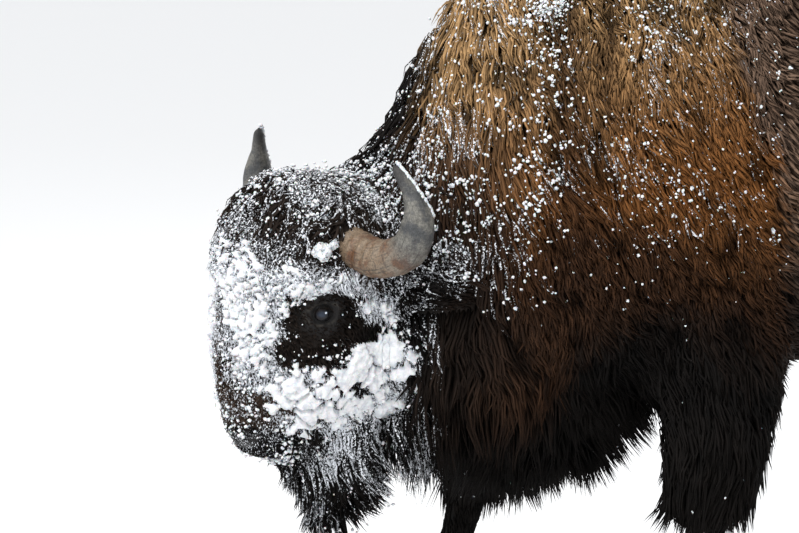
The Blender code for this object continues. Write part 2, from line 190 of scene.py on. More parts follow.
def in_scene(name, mesh):
    """A new object with this mesh."""
    thing = bpy.data.objects.new(name, mesh)
    scene.collection.objects.link(thing)
    return thing


def evaluated(thing):
    """The mesh that an object's modifiers make. The object itself goes."""
    graph = bpy.context.evaluated_depsgraph_get()
    mesh = bpy.data.meshes.new_from_object(thing.evaluated_get(graph), depsgraph=graph)
    bpy.data.objects.remove(thing)
    return mesh


@contextmanager
def editing(mesh):
    """Edits a mesh, which may still be empty, as a bmesh."""
    bm = bmesh.new()
    bm.from_mesh(mesh)
    yield bm
    bm.to_mesh(mesh)
    bm.free()


def read(items, what, width, kind=np.float32):
    """One property of every item, as the rows of an array."""
    values = np.empty(len(items) * width, dtype=kind)
    items.foreach_get(what, values)
    return values.reshape(-1, width)


def read_points(mesh, what="co"):
    return read(mesh.vertices, what, 3).astype(float)


def read_edges(mesh):
    return read(mesh.edges, "vertices", 2, np.int32)


PULLS = (0.5, -0.52)


def write_points(mesh, points):
    mesh.vertices.foreach_set("co", np.asarray(points, dtype=np.float32).ravel())
    mesh.update()


def relaxed(points, edges, steps, weight=1.0):
    """Smooths points over their edges, in and out by turns, so that the form does not shrink."""
    a, b = edges.T
    size = len(points)
    count = np.maximum(np.bincount(edges.ravel(), minlength=size), 1)
    for step in range(steps):
        sums = [np.bincount(a, points[b, i], size) + np.bincount(b, points[a, i], size) for i in range(3)]
        mean = np.stack(sums, axis=1) / count[:, None]
        points = points + (mean - points) * PULLS[step % 2] * weight
    return points


def surface_tree(mesh):
    """The mesh's faces, ready to be searched."""
    corners = [v.co for v in mesh.vertices]
    return BVHTree.FromPolygons(corners, [p.vertices[:] for p in mesh.polygons])


def add_ball(bm, middle, radii, turn=None, within=Matrix()):
    """Adds an ellipsoid, placed in the frame that within gives."""
    place = within @ Matrix.LocRotScale(Vector(middle), turn, radii)
    bmesh.ops.create_icosphere(bm, subdivisions=3, radius=1.0, matrix=place)


def foot_place(foot):
    """The middle of a foot's two claws across, and the back of its heels."""
    boxes = [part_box(n) for n in nodes if n.startswith("hoof_" + foot)]
    across = sum((low.y + high.y) / 2 for low, high in boxes) / len(boxes)
    return across, max(high.x for _, high in boxes)


def remeshed(mesh, voxel):
    """An even quad mesh over the same solid."""
    solid = in_scene("solid", mesh)
    fuse = solid.modifiers.new("fuse", "REMESH")
    fuse.mode = "VOXEL"
    fuse.voxel_size = voxel
    return evaluated(solid)


def closed_part(name, stub=None):
    """A node's mesh, welded, and cut off at a distance from the head's middle plane."""
    mesh = bpy.data.meshes.new("part")
    with editing(mesh) as bm:
        bm.from_mesh(nodes[name].data)
        bmesh.ops.remove_doubles(bm, verts=bm.verts, dist=1e-5)
        if stub:
            outward = -1 if "left" in name else 1
            place = head_matrix @ Vector((0, outward * stub, 0))
            normal = head_turn.to_3x3() @ Vector((0, outward, 0))
            geom = bm.verts[:] + bm.edges[:] + bm.faces[:]
            bmesh.ops.bisect_plane(bm, geom=geom, plane_co=place, plane_no=normal, clear_outer=True)
            bmesh.ops.holes_fill(bm, edges=[e for e in bm.edges if e.is_boundary])
    return mesh


def fused_flesh():
    """One closed surface over the flesh, the stubs of horns and ears, and the balls."""
    parts = [closed_part(name) for name in flesh_names]
    parts += [closed_part(name, HORN_STUB) for name in ("horn_left", "horn_right")]
    parts += [closed_part(name, EAR_STUB) for name in ("ear_left", "ear_right")]
    mesh = bpy.data.meshes.new("flesh")
    with editing(mesh) as bm:
        for part in parts:
            even = remeshed(part, SKIN_VOXEL * 0.7)
            write_points(even, read_points(even) + read_points(even, "normal") * SWELL)
            bm.from_mesh(even)
        (x, y, z), radii = EYE_FILL
        for side in (-1, 1):
            add_ball(bm, (x, side * y, z), radii, within=head_matrix)
        for foot in FEET:
            across, heel = foot_place(foot)
            add_ball(bm, (heel - HEEL_TO_PASTERN, across, PASTERN_HEIGHT), PASTERN_RADII)
    fused = remeshed(mesh, SKIN_VOXEL)
    keep_largest_island(fused)
    return fused


def keep_largest_island(mesh):
    """Drops the small bubbles that the cuts leave inside."""
    label = np.arange(len(mesh.vertices))
    a, b = read_edges(mesh).T
    while True:
        least = np.minimum(label[a], label[b])
        spread = label.copy()
        np.minimum.at(spread, a, least)
        np.minimum.at(spread, b, least)
        spread = spread[spread]
        if (spread == label).all():
            break
        label = spread
    largest = np.bincount(label).argmax()
    with editing(mesh) as bm:
        drop = [v for v in bm.verts if label[v.index] != largest]
        bmesh.ops.delete(bm, geom=drop, context="VERTS")


def refine(mesh, wanted):
    """Halves the edges of the faces whose corners are wanted, given a function of points."""
    with editing(mesh) as bm:
        chosen = wanted(np.array([v.co for v in bm.verts]))
        edges = [e for e in bm.edges if all(chosen[v.index] for v in e.verts)]
        bmesh.ops.subdivide_edges(bm, edges=edges, cuts=1, use_grid_fill=True)


def on_head(points):
    """Whether a place lies on the head, horns and beard included."""
    h = to_head(points)
    return (h[:, 0] < 0.24) & (np.abs(h[:, 1]) < 0.3) & (np.abs(h[:, 2]) < 0.4)


def on_face(points):
    """The muzzle and the surroundings of both eyes."""
    h = to_head(points)
    muzzle = (h[:, 2] < -0.22) & (h[:, 0] < 0.03) & (h[:, 2] > -0.36)
    eye = (np.hypot(h[:, 0], h[:, 2]) < 0.055) & (np.abs(h[:, 1]) > 0.08)
    return on_head(points) & (muzzle | eye)


def eye_distance(h):
    """Distance from the nearer eye's middle, in the head's frame."""
    return np.sqrt(h[:, 0] ** 2 + (np.abs(h[:, 1]) - EYE_Y) ** 2 + h[:, 2] ** 2)


def coat_depth(points):
    """How far the coat's tips stand off the skin."""
    b, h = to_body(points), to_head(points)
    x, z = b[:, 0], b[:, 2]
    depth = 0.011 + 0.022 * (1 - ramp(x, 0.10, 0.24))
    depth += 0.006 * (1 - ramp(x, -0.50, -0.30))
    depth = blend(depth, 0.002 + 0.004 * ramp(z, 0.09, 0.16), 1 - ramp(z, 0.42, 0.50))
    head = ramp(-h[:, 0], -0.26, -0.18) * ramp(-x, 0.35, 0.45)
    on_crown = ramp(h[:, 2], -0.02, 0.10)
    cheek = ramp(h[:, 0], -0.04, 0.10)
    face = 0.012 + 0.022 * on_crown + 0.014 * cheek * (1 - on_crown)
    face = blend(face, 0.006, 1 - ramp(h[:, 2], -0.24, -0.12))
    beard = ramp(h[:, 0], -0.03, 0.03) * (1 - ramp(h[:, 2], -0.30, -0.20))
    depth = blend(depth, blend(face, 0.026, beard), head)
    depth = blend(depth, 0.003, 1 - ramp(eye_distance(h), 0.035, 0.075))
    tail = ramp(x, 1.50, 1.53)
    return blend(depth, blend(0.008, 0.020, tail * (1 - ramp(z, 0.80, 0.90))), tail)


def room_inside(mesh):
    """How far each point may sink: a third of the flesh's thickness there."""
    tree = surface_tree(mesh)
    room = np.empty(len(mesh.vertices))
    for i, (place, outward) in enumerate(zip(mesh.vertices, mesh.vertex_normals)):
        hit = tree.ray_cast(place.co - outward.vector * 1e-3, -outward.vector, THICKEST)
        room[i] = (hit[3] or THICKEST) / 3
    return room


skin_mesh = fused_flesh()
refine(skin_mesh, on_face)
refine(skin_mesh, on_face)
skin_points = relaxed(read_points(skin_mesh), read_edges(skin_mesh), 24)
write_points(skin_mesh, skin_points)
sink = np.minimum(SWELL + coat_depth(skin_points), room_inside(skin_mesh))
for _ in range(SINK_STEPS):
    skin_points -= read_points(skin_mesh, "normal") * sink[:, None] / SINK_STEPS
    skin_points = relaxed(skin_points, read_edges(skin_mesh), 4)
    write_points(skin_mesh, skin_points)
# What still stands out from the smooth surface goes back to it
for _ in range(2):
    calm = skin_points
    for _ in range(10):
        calm = relaxed(calm, read_edges(skin_mesh), 1, 0.9)
    crumb = np.linalg.norm(calm - skin_points, axis=1) > CRUMB_HEIGHT
    skin_points[crumb] = calm[crumb]
write_points(skin_mesh, skin_points)


# ---------------------------------------------------------------------------------------------
# The shape of the head's skin: orbits and lids round the eyes, nostrils, the mouth's line and a
# groove in the lip, then cupped ears joined at their roots.
# ---------------------------------------------------------------------------------------------
LID_OPENING = (0.0204, 0.0148)
LID_MIDDLE = (-0.002, -0.001)
JUST_OPEN = 1.001
LID_OVER_BALL = 0.0022
LID_STANDS_OUT = 0.0115
NOSTRIL = ((-0.128, 0.034, -0.288), (-0.112, 0.060, -0.262))
NOSTRIL_DEPTH = 0.018
MOUTH_DEPTH = 0.006
LIP_GROOVE_DEPTH = 0.004
MOUTH = ((-0.070, 0.030, -0.326), (-0.020, 0.078, -0.290), (0.020, 0.098, -0.245))
EAR_ROOT = (0.150, 0.130, 0.060)
EAR_TIP = (0.238, 0.285, 0.062)


def segment_distance(points, start, end):
    """Distance from the straight line between two places."""
    start, end = np.array(start), np.array(end)
    along = np.clip((points - start) @ (end - start) / ((end - start) @ (end - start)), 0, 1)
    return np.linalg.norm(points - start - along[:, None] * (end - start), axis=1)


def round_eye(points):
    h = to_head(points)
    return on_head(points) & (np.hypot(h[:, 0], h[:, 2]) < 0.042) & (np.abs(h[:, 1]) > 0.08)


refine(skin_mesh, round_eye)
skin_points = read_points(skin_mesh)
inward = -read_points(skin_mesh, "normal")
h = to_head(skin_points)
side = np.sign(h[:, 1])
h[:, 1] *= side
push = NOSTRIL_DEPTH * (1 - ramp(segment_distance(h, *NOSTRIL), 0.005, 0.014))
push -= 0.003 * band(segment_distance(h, *NOSTRIL), 0.014, 0.020, 0.003)
for start, end in zip(MOUTH, MOUTH[1:]):
    line = 1 - ramp(segment_distance(h, start, end), 0.001, 0.008)
    push = np.maximum(push, MOUTH_DEPTH * line)
lip = (1 - ramp(h[:, 1], 0.001, 0.006)) * (1 - ramp(h[:, 2], -0.27, -0.24)) * (h[:, 0] < -0.07)
push = np.where(on_head(skin_points), push + LIP_GROOVE_DEPTH * lip, 0)
push = (inward * push[:, None]) @ TURN
push[:, 1] *= side
h += push
near = round_eye(skin_points)
reach = (h[:, ::2] - LID_MIDDLE) / LID_OPENING
opening = np.hypot(reach[:, 0], reach[:, 1])
rim = near & (np.abs(opening - 1) < 0.085)
h[rim, ::2] = (h[rim, ::2] - LID_MIDDLE) / opening[rim, None] * JUST_OPEN + LID_MIDDLE
opening[rim] = JUST_OPEN
r = np.hypot(h[:, 0], h[:, 2])
ball = EYE_Y + np.sqrt(np.maximum(EYE_RADIUS**2 - r**2, 0))
lids = np.maximum(ball + LID_OVER_BALL, EYE_Y + LID_STANDS_OUT + 0.06 * (r - 0.02))
lids += 0.0010 * band(opening, 0.98, 1.14, 0.08)
crease = np.hypot((h[:, 0] - LID_MIDDLE[0]) / 0.0245, (h[:, 2] - 0.001) / 0.0195)
lids -= 0.0016 * band(crease, 0.96, 1.08, 0.07) * ramp(h[:, 2], -0.006, 0.004)
lids = np.where(opening < 1, ball - 0.004, lids)
keep = ramp(r, 0.022, 0.045)
h[:, 1] = np.where(near, blend(lids, h[:, 1], keep), h[:, 1]) * side
write_points(skin_mesh, out_of_head(h))


def ear_shell(side):
    """A leaf cupped towards the front, as the points and faces of a closed shell."""
    root, tip = (np.array((p[0], side * p[1], p[2])) for p in (EAR_ROOT, EAR_TIP))
    axis = tip - root
    front = np.array((-0.85, 0.0, -0.35))
    front -= axis * (front @ axis) / (axis @ axis)
    front /= np.linalg.norm(front)
    width = np.cross(axis, front)
    width /= np.linalg.norm(width)
    rows, around = 12, 20
    points = []
    for i in range(rows):
        t = i / (rows - 1)
        half = np.interp(t, (0, 0.2, 0.45, 0.7, 0.9, 1), (0.024, 0.031, 0.041, 0.034, 0.018, 0.002))
        for j in range(around):
            angle = math.tau * j / around
            across, depth = math.cos(angle), math.sin(angle)
            cup = (across * across - 0.6) * half * 0.45
            place = root + axis * t + width * across * half + front * (cup + depth * 0.004)
            points.append(place)
    faces = []
    for i in range(rows - 1):
        for j in range(around):
            k = (j + 1) % around
            row, above = i * around, (i + 1) * around
            faces.append((row + j, row + k, above + k, above + j))
    faces += [tuple(range(around))[::-1], tuple(range((rows - 1) * around, rows * around))]
    return out_of_head(points), [face[::-side] for face in faces]


with editing(skin_mesh) as bm:
    for side in (-1, 1):
        points, faces = ear_shell(side)
        made = [bm.verts.new(p) for p in points]
        for face in faces:
            bm.faces.new([made[i] for i in face])
skin_mesh.shade_smooth()
skin_mesh.name = "skin"
skin = in_scene("skin", skin_mesh)
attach(skin, "root")
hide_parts(*flesh_names, "ear_left", "ear_right")


# ---------------------------------------------------------------------------------------------
# Markings, shared by skin and coat: tan over the hump, red brown down the shoulder, black wool on
# the chest, forelegs, belly and beard, a dark head, and plain brown behind the cape. Painted shade
# darkens creases down the cape and two patches low on the shoulder, and with the belly's dark wool
# the flank below the belly line.
# ---------------------------------------------------------------------------------------------
TAN = (0.37, 0.226, 0.104)
RED_BROWN = (0.200, 0.080, 0.023)
DARK_BROWN = (0.040, 0.018, 0.0085)
BLACK_WOOL = (0.0058, 0.0046, 0.0040)
NECK_BROWN = (0.048, 0.026, 0.016)
REAR_BROWN = (0.172, 0.112, 0.078)
HIND_BROWN = (0.118, 0.076, 0.052)
HEAD_BROWN = (0.020, 0.014, 0.011)
MUZZLE_GREY = (0.070, 0.046, 0.033)
# Dark belly wool, also standing for painted shade on the lower flank
BELLY_WOOL_AND_SHADE = (0.024, 0.015, 0.011)
FROST = (0.80, 0.83, 0.88)

# Painted shade in creases down the cape, each with its x, narrowness, the heights between which it
# fades and its strength, and patches of painted shade, the lower one partly dark wool at the elbow,
# each with its place and narrowness in x and z, fade, strength and colour
CREASE_SHADE = ((-0.285, 15.0, 1.60, 1.48, 0.75), (-0.190, 28.0, 1.22, 1.30, 0.55))
SHADE_PATCHES = (
    (-0.17, 4.6, 0.93, 6.0, 1.3, 0.2, 0.72, DARK_BROWN),
    (-0.02, 5.2, 0.79, 8.0, 1.5, 0.3, 0.85, BLACK_WOOL),
)


class Socket:
    """A value in a node tree. Sums and products of sockets add Math nodes to the tree."""

    def __init__(self, tree, out=None):
        self.tree = tree
        self.out = out

    @staticmethod
    def named(sockets, key):
        """A socket by its place, or by its name among those that the node's settings leave on."""
        if isinstance(key, int):
            return sockets[key]
        return next(s for s in sockets if s.enabled and s.name == key)

    def node(self, kind, settings, inputs, output=0):
        """Adds a node, sets its settings, then fills or links its inputs."""
        made = self.tree.nodes.new(kind)
        for name, value in settings.items():
            setattr(made, name, value)
        for key, value in inputs.items():
            target = self.named(made.inputs, key)
            if isinstance(value, Socket):
                self.tree.links.new(value.out, target)
            else:
                target.default_value = (*value, 1.0) if target.type == "RGBA" else value
        return Socket(self.tree, self.named(made.outputs, output))

    def maths(self, operation, *values):
        return self.node("ShaderNodeMath", {"operation": operation}, dict(enumerate(values)))

    def __add__(self, other):
        return self.maths("ADD", self, other)

    def __sub__(self, other):
        return self.maths("SUBTRACT", self, other)

    def __rsub__(self, other):
        return self.maths("SUBTRACT", other, self)

    def __mul__(self, other):
        return self.maths("MULTIPLY", self, other)

    def __pow__(self, other):
        return self.maths("POWER", self, other)

    __radd__ = __add__
    __rmul__ = __mul__

    def __neg__(self):
        return self.maths("MULTIPLY", self, -1.0)

    def vector(self, operation, other, output="Vector"):
        return self.node("ShaderNodeVectorMath", {"operation": operation}, {0: self, 1: other}, output)

    def scaled(self, amount):
        """A vector or colour, made longer or lighter."""
        return self.node(
            "ShaderNodeVectorMath", {"operation": "SCALE"}, {0: self, "Scale": amount}, "Vector"
        )

    def ramp(self, low, high):
        """0 below low, 1 above high, smooth between."""
        inputs = {"Value": self, "From Min": low, "From Max": high}
        return self.node("ShaderNodeMapRange", {"interpolation_type": "SMOOTHSTEP"}, inputs, "Result")

    def noise(self, scale, detail=3.0, roughness=0.55):
        inputs = {"Vector": self, "Scale": scale, "Detail": detail, "Roughness": roughness}
        return self.node("ShaderNodeTexNoise", {}, inputs, 0)

    def part(self, axis):
        return self.node("ShaderNodeSeparateXYZ", {}, {0: self}, axis)

    def mix(self, first, second):
        """A colour that is first where this socket is 0 and second where it is 1."""
        inputs = {"Factor": self, "A": first, "B": second}
        return self.node("ShaderNodeMix", {"data_type": "RGBA"}, inputs, "Result")


class Finish:
    """A material with one Principled shader, whose inputs are set by name."""

    def __init__(self, name, values=None):
        self.material = bpy.data.materials.new(name)
        self.material.use_nodes = True
        self.start = Socket(self.material.node_tree)
        self.shader = self.material.node_tree.nodes["Principled BSDF"]
        for key, value in (values or {}).items():
            self.shader.inputs[key].default_value = value

    def place(self):
        return self.start.node("ShaderNodeTexCoord", {}, {}, "Object")

    def attribute(self, name, output="Vector"):
        return self.start.node("ShaderNodeAttribute", {"attribute_name": name}, {}, output)

    def link(self, socket, target):
        self.start.tree.links.new(socket.out, self.shader.inputs[target])

    def bump(self, height, strength, distance):
        inputs = {"Strength": strength, "Distance": distance, "Height": height}
        self.link(self.start.node("ShaderNodeBump", {}, inputs), "Normal")


def head_axes(place):
    """A place along each axis of the head's frame."""
    from_head = place.vector("SUBTRACT", tuple(head_place))
    return [from_head.vector("DOT_PRODUCT", tuple(TURN[:, i]), "Value") for i in range(3)]


def squares(first, second, weight=1.0):
    """The squared distance from the middle of an ellipse."""
    return first * first + second * second * weight


def markings(place):
    """The coat's lightness and colour at a place."""
    at = place.vector("SUBTRACT", tuple(body_place))
    patch = at.noise(4.0, 3.0) - 0.5
    fine = at.noise(14.0, 2.0) - 0.5
    x = at.part("X") + patch * 0.10
    z = at.part("Z") + patch * 0.16 + fine * 0.06
    colour = z.ramp(0.87, 1.19).mix(DARK_BROWN, RED_BROWN)
    colour = (z - x * 0.35).ramp(1.16, 1.62).mix(colour, TAN)
    # Painted shade darkens the creases down the cape
    for middle_x, narrow, low, high, strength in CREASE_SHADE:
        crease = (x - middle_x) * narrow
        crease = crease.maths("MAXIMUM", 1 - crease * crease, 0.0) * z.ramp(low, high)
        colour = (crease * strength).mix(colour, DARK_BROWN)
    # Two patches of painted shade low on the shoulder; the lower one partly stands for dark wool at the
    # elbow
    for middle_x, narrow_x, middle_z, narrow_z, low, high, strength, tint in SHADE_PATCHES:
        shade_patch = squares((x - middle_x) * narrow_x, (z - middle_z) * narrow_z).ramp(low, high)
        colour = (shade_patch * strength).mix(colour, tint)
    neck = (-x).ramp(0.30, 0.50) * z.ramp(1.36, 1.18)
    colour = (neck * 0.85).mix(colour, NECK_BROWN)
    crest = at.part("X") - at.part("Z") * 0.32 + 1.018 + fine * 0.03
    nape = crest.ramp(0.085, 0.030) * z.ramp(0.98, 1.10)
    colour = nape.mix(colour, BLACK_WOOL)
    low = (x + 0.30).ramp(-0.04, 0.08) * 0.12 - (x + 0.02).ramp(0.0, 0.09) * 0.06 + 0.70
    colour = (low - z + 0.06).ramp(-0.02, 0.10).mix(colour, BLACK_WOOL)
    behind = x.ramp(0.70, 1.25).mix(REAR_BROWN, HIND_BROWN)
    dull = at.vector("MULTIPLY", (1.0, 1.0, 1.6)).noise(7.0, 4.0)
    behind = (dull.ramp(0.45, 0.70) * 0.45).mix(behind, DARK_BROWN)
    # Below the belly line the coat darkens: dark belly wool together with painted shade on the flank
    belly = x.ramp(0.35, 0.80) * -0.14 + 0.93
    behind = (belly - z + 0.02).ramp(-0.06, 0.06).mix(behind, BELLY_WOOL_AND_SHADE)
    ragged = at.vector("MULTIPLY", (1.0, 1.0, 0.4)).noise(26.0, 2.0) - 0.5
    cape_edge = -(z.ramp(1.08, 1.52) * -0.12 + 0.165 - at.part("X") - ragged * 0.09)
    colour = cape_edge.ramp(-0.022, 0.022).mix(colour, behind)
    colour = (-z).ramp(-0.62, -0.50).mix(colour, BLACK_WOOL)
    hx, _, hz = head_axes(place)
    collar = (-hx).ramp(-0.38, -0.29) * (-z).ramp(-1.17, -1.04)
    colour = (collar * 0.75).mix(colour, BLACK_WOOL)
    head = (-hx).ramp(-0.27, -0.19) * (-at.part("X")).ramp(0.36, 0.46)
    face = (-hz + fine * 0.05).ramp(0.10, 0.20).mix(HEAD_BROWN, MUZZLE_GREY)
    face = (-hx + fine * 0.05).ramp(0.120, 0.165).mix(face, MUZZLE_GREY)
    face = (-hz).ramp(0.235, 0.262).mix(face, BLACK_WOOL)
    face = ((hx + 0.04) * 6.0 - hz * 3.0).ramp(0.55, 0.95).mix(face, BLACK_WOOL)
    colour = head.mix(colour, face)
    shade = at.noise(30.0, 2.0) * 0.5 + 0.75
    return shade, colour


hide = Finish("hide", {"Specular IOR Level": 0.2})
at_skin = hide.place()
shade, colour = markings(at_skin)
hx, hy, hz = head_axes(at_skin)
orbit = (squares(hx, hz, 1.6) ** 0.5).ramp(0.075, 0.045) * (hy * hy).ramp(0.0049, 0.01)
colour = colour.scaled(shade * 0.55)
colour = orbit.mix(colour, (0.0095, 0.0085, 0.0085))
lid_x = (hx - LID_MIDDLE[0]) * (1 / LID_OPENING[0])
lid_z = (hz - LID_MIDDLE[1]) * (1 / LID_OPENING[1])
lid_edge = (squares(lid_x, lid_z) ** 0.5).ramp(1.55, 1.20)
colour = (lid_edge * orbit).mix(colour, (0.0025, 0.0022, 0.0022))
fold = squares(lid_x * 0.80, lid_z - lid_x * 0.10) ** 0.5
fold = fold.ramp(1.36, 1.56) * fold.ramp(1.88, 1.66) * at_skin.noise(60.0, 2.0).ramp(0.40, 0.62)
colour = (fold * orbit * 0.5).mix(colour, (0.060, 0.053, 0.044))
nose = (-hz).ramp(0.255, 0.270) * (-hx).ramp(0.04, 0.07)
colour = nose.mix(colour, (0.010, 0.009, 0.009))
grit = at_skin.noise(240.0, 3.0, 0.6)
rime = hide.attribute("frost", "Fac") * 0.9 + nose * 0.36 + (grit - 0.5) * 4.0
rime = rime.ramp(0.62, 0.90) * (hide.attribute("frost", "Fac") + nose).ramp(0.05, 0.3)
hide.link(rime.mix(colour, FROST), "Base Color")
hide.link(0.78 - (orbit * 0.20 + nose * 0.28), "Roughness")
pebbles = at_skin.node("ShaderNodeTexVoronoi", {}, {"Vector": at_skin, "Scale": 260.0}) * nose * 2.5
hairs = at_skin.vector("MULTIPLY", (260.0, 260.0, 34.0)).noise(1.0, 3.0) * 2.0
hide.bump(at_skin.noise(260.0, 3.0) + hairs + pebbles, 0.7, 0.0022)
skin_mesh.materials.append(hide.material)


# ---------------------------------------------------------------------------------------------
# How the coat lies. Fields over the skin give each tuft's direction, length, width and how freely
# it hangs. A coarse copy of the skin, unwrapped, gives each tuft's patch on the baked map.
# ---------------------------------------------------------------------------------------------
def point_attribute(mesh, name, values):
    values = np.asarray(values, dtype=np.float32)
    kind = "FLOAT_VECTOR" if values.ndim == 2 else "FLOAT"
    attribute = mesh.attributes.new(name, kind, "POINT")
    attribute.data.foreach_set("vector" if values.ndim == 2 else "value", values.ravel())


def unit(vectors):
    return vectors / np.maximum(np.linalg.norm(vectors, axis=1), 1e-9)[:, None]


def turned(way, other, weight):
    """Ways that turn from one to the other as the weight goes from 0 to 1."""
    return blend(np.asarray(way), np.asarray(other), weight[:, None])


def head_share(b, h):
    """1 on the head and 0 on the body, for places in the body's and the head's frames."""
    return ramp(-h[:, 0], -0.26, -0.18) * ramp(-b[:, 0], 0.36, 0.46)


def ear_share(points):
    """1 on the ears, beyond the long hair at their roots."""
    h = to_head(points)
    h[:, 1] = np.abs(h[:, 1])
    return (segment_distance(h, EAR_ROOT, EAR_TIP) < 0.060) * ramp(h[:, 1], 0.175, 0.200)


def coat_flow(points):
    """The way the hair points at each place."""
    b, h = to_body(points), to_head(points)
    x, z = b[:, 0], b[:, 2]
    way = turned((0.38, 0, -1), (1, 0, -0.40), ramp(x, 0.10, 0.26))
    way = turned(way, (0.05, 0, -1), ramp(-x, 0.30, 0.55) * 0.8)
    way = turned(way, (0, 0, -1), 1 - ramp(z, 0.55, 0.85))
    way = turned(way, (0.2, 0, -1), ramp(x, 1.48, 1.54))
    face = turned((0.10, 0, -1), (0.35, 0, -1), ramp(h[:, 0], -0.05, 0.10))
    face = turned(face, (-0.25, 0, -1), ramp(h[:, 2], 0.05, 0.14))
    face = turned(face, (0.9, 0, -0.4), 1 - ramp(np.hypot(h[:, 0], h[:, 2]), 0.04, 0.09))
    way = turned(way, face @ TURN.T, head_share(b, h))
    ear = np.stack([np.full(len(h), 0.088), np.sign(h[:, 1]) * 0.155, np.full(len(h), 0.0)], 1)
    way = turned(way, ear @ TURN.T * 8, ear_share(points))
    way[:, 0] += 0.22 * wobble(points, 9, 1) + 0.12 * wobble(points, 30, 2)
    way[:, 1] += 0.16 * wobble(points, 9, 3)
    return unit(way)


def hanging(points):
    """1 where the coat hangs free: chest, forelegs' pantaloons, beard, switch, and over the hooves."""
    b, h = to_body(points), to_head(points)
    x, z = b[:, 0], b[:, 2]
    chest = (1 - ramp(x, 0.10, 0.22)) * (1 - ramp(z, 0.66, 0.86)) * ramp(z, 0.40, 0.48)
    beard = head_share(b, h) * ramp(h[:, 0], -0.04, 0.03) * (1 - ramp(h[:, 2], -0.27, -0.18))
    switch = ramp(x, 1.50, 1.54) * (1 - ramp(z, 0.85, 0.98))
    coronet = 1 - ramp(z, 0.080, 0.105)
    return np.maximum.reduce([chest * (1 - head_share(b, h)), beard, switch, coronet])


def coat_length(points):
    """The length of the hair at each place."""
    b, h = to_body(points), to_head(points)
    x, z = b[:, 0], b[:, 2]
    cape = 1 - ramp(x, 0.09, 0.19)
    length = 0.050 + cape * 0.010 + cape * ramp(-x, 0.26, 0.50) * 0.035
    length += cape * (1 - ramp(z, 0.72, 0.95)) * 0.050
    length += cape * (1 - ramp(z, 0.55, 0.75)) * 0.020
    length = blend(length, 0.034, 1 - ramp(z, 0.40, 0.50))
    tail = ramp(x, 1.49, 1.53)
    length += tail * (0.010 + 0.130 * (1 - ramp(z, 0.85, 1.0)))
    face = 0.016 + 0.050 * ramp(h[:, 2], 0.05, 0.15) + 0.022 * ramp(h[:, 0], -0.02, 0.10)
    muzzle = 1 - ramp(h[:, 2], -0.26, -0.14)
    face = blend(face, 0.009, muzzle)
    face += 0.016 * ramp(-turned_places(points)[0], 0.13, 0.18) * (1 - muzzle)
    beard = ramp(h[:, 0], -0.03, 0.03) * (1 - ramp(h[:, 2], -0.28, -0.18))
    face = blend(blend(face, 0.120, beard), 0.008, 1 - ramp(eye_distance(h), 0.040, 0.085))
    return blend(blend(length, face, head_share(b, h)), 0.022, ear_share(points))


def coat_width(length):
    return 0.0020 + 0.085 * np.minimum(length, 0.075)


def furrow(points):
    """1 in the upright creases between the locks of the cape and mane, 0 on the locks."""
    b, h = to_body(points), to_head(points)
    leaning = points + np.outer(b[:, 2], (0.25, 0, 0))
    wide = wobble(leaning * (1, 1, 0.22), 42, 41)
    close = wobble(leaning * (1, 1, 0.30), 120, 42)
    depth = ramp(wide * 0.9 + close * 0.8, 0.15, 1.15)
    return depth * (1 - ramp(b[:, 0], 0.10, 0.20)) * (1 - head_share(b, h) * 0.7)


def bare(points):
    """1 where no tuft may root: the eyes, the nose, and the edges of lips and nostrils."""
    h = to_head(points)
    h[:, 1] = np.abs(h[:, 1])
    nose = (h[:, 2] < -0.272) & (h[:, 0] < -0.098)
    orbit = (np.hypot(h[:, 0] / 1.35, h[:, 2]) < 0.026) & (h[:, 1] > 0.08)
    nostril = segment_distance(h, *NOSTRIL) < 0.017
    return on_head(points) & (nose | orbit | nostril)


def patch(x, z, middle_x, middle_z, radius_x, radius_z):
    """1 inside an ellipse on the side of the head, fading to 0 at its edge."""
    reach = np.hypot((x - middle_x) / radius_x, (z - middle_z) / radius_z)
    return 1 - ramp(reach, 0.62, 1.12)


def largest(x, z, rows):
    """The largest of several patches, each given by its strength and its ellipse."""
    return np.maximum.reduce([row[0] * patch(x, z, *row[1:]) for row in rows])


def turned_places(points):
    """Places on either half of the head as seen from 33 degrees ahead of its side, and heights."""
    h = to_head(points)
    return h[:, 0] + 0.649 * np.abs(h[:, 1]), h[:, 2]


# Round, behind and below each eye
CLEAR_OF_SNOW = (
    (1.00, 0.108, -0.006, 0.084, 0.047), (0.70, 0.200, -0.035, 0.075, 0.025),
    (0.80, 0.054, -0.062, 0.082, 0.055),
)
# Forehead, brow, bridge of the nose and beside it, behind the eye, and two on the cheek
SOFT_SNOW = (
    (1.00, -0.085, 0.048, 0.105, 0.112), (1.00, 0.060, 0.078, 0.150, 0.052),
    (0.92, -0.085, -0.070, 0.115, 0.120), (0.80, -0.005, -0.155, 0.070, 0.050),
    (0.80, 0.225, 0.018, 0.070, 0.045), (0.72, 0.09, -0.19, 0.21, 0.125),
    (0.72, 0.25, -0.13, 0.13, 0.14),
)


def eye_clearing(points):
    """1 in the bare dark skin round and below each eye."""
    u, z = turned_places(points)
    u, z = u + 0.012 * wobble(points, 45, 83), z + 0.012 * wobble(points, 45, 84)
    u, z = u + 0.005 * wobble(points, 130, 85), z + 0.005 * wobble(points, 130, 86)
    return largest(u, z, CLEAR_OF_SNOW)


def soft_snow(points):
    """Fine snow packed among the short hair of the face, from 0 to 1."""
    u, z = turned_places(points)
    share = largest(u, z, SOFT_SNOW)
    share *= (1 - eye_clearing(points)) * head_share(to_body(points), to_head(points))
    share *= 0.20 + 0.80 * ramp(u, -0.185, -0.135)
    ragged = 0.16 * wobble(points, 24, 81) + 0.14 * wobble(points, 70, 82)
    return ramp(share + ragged, 0.30, 0.85) * (share > 0.02)


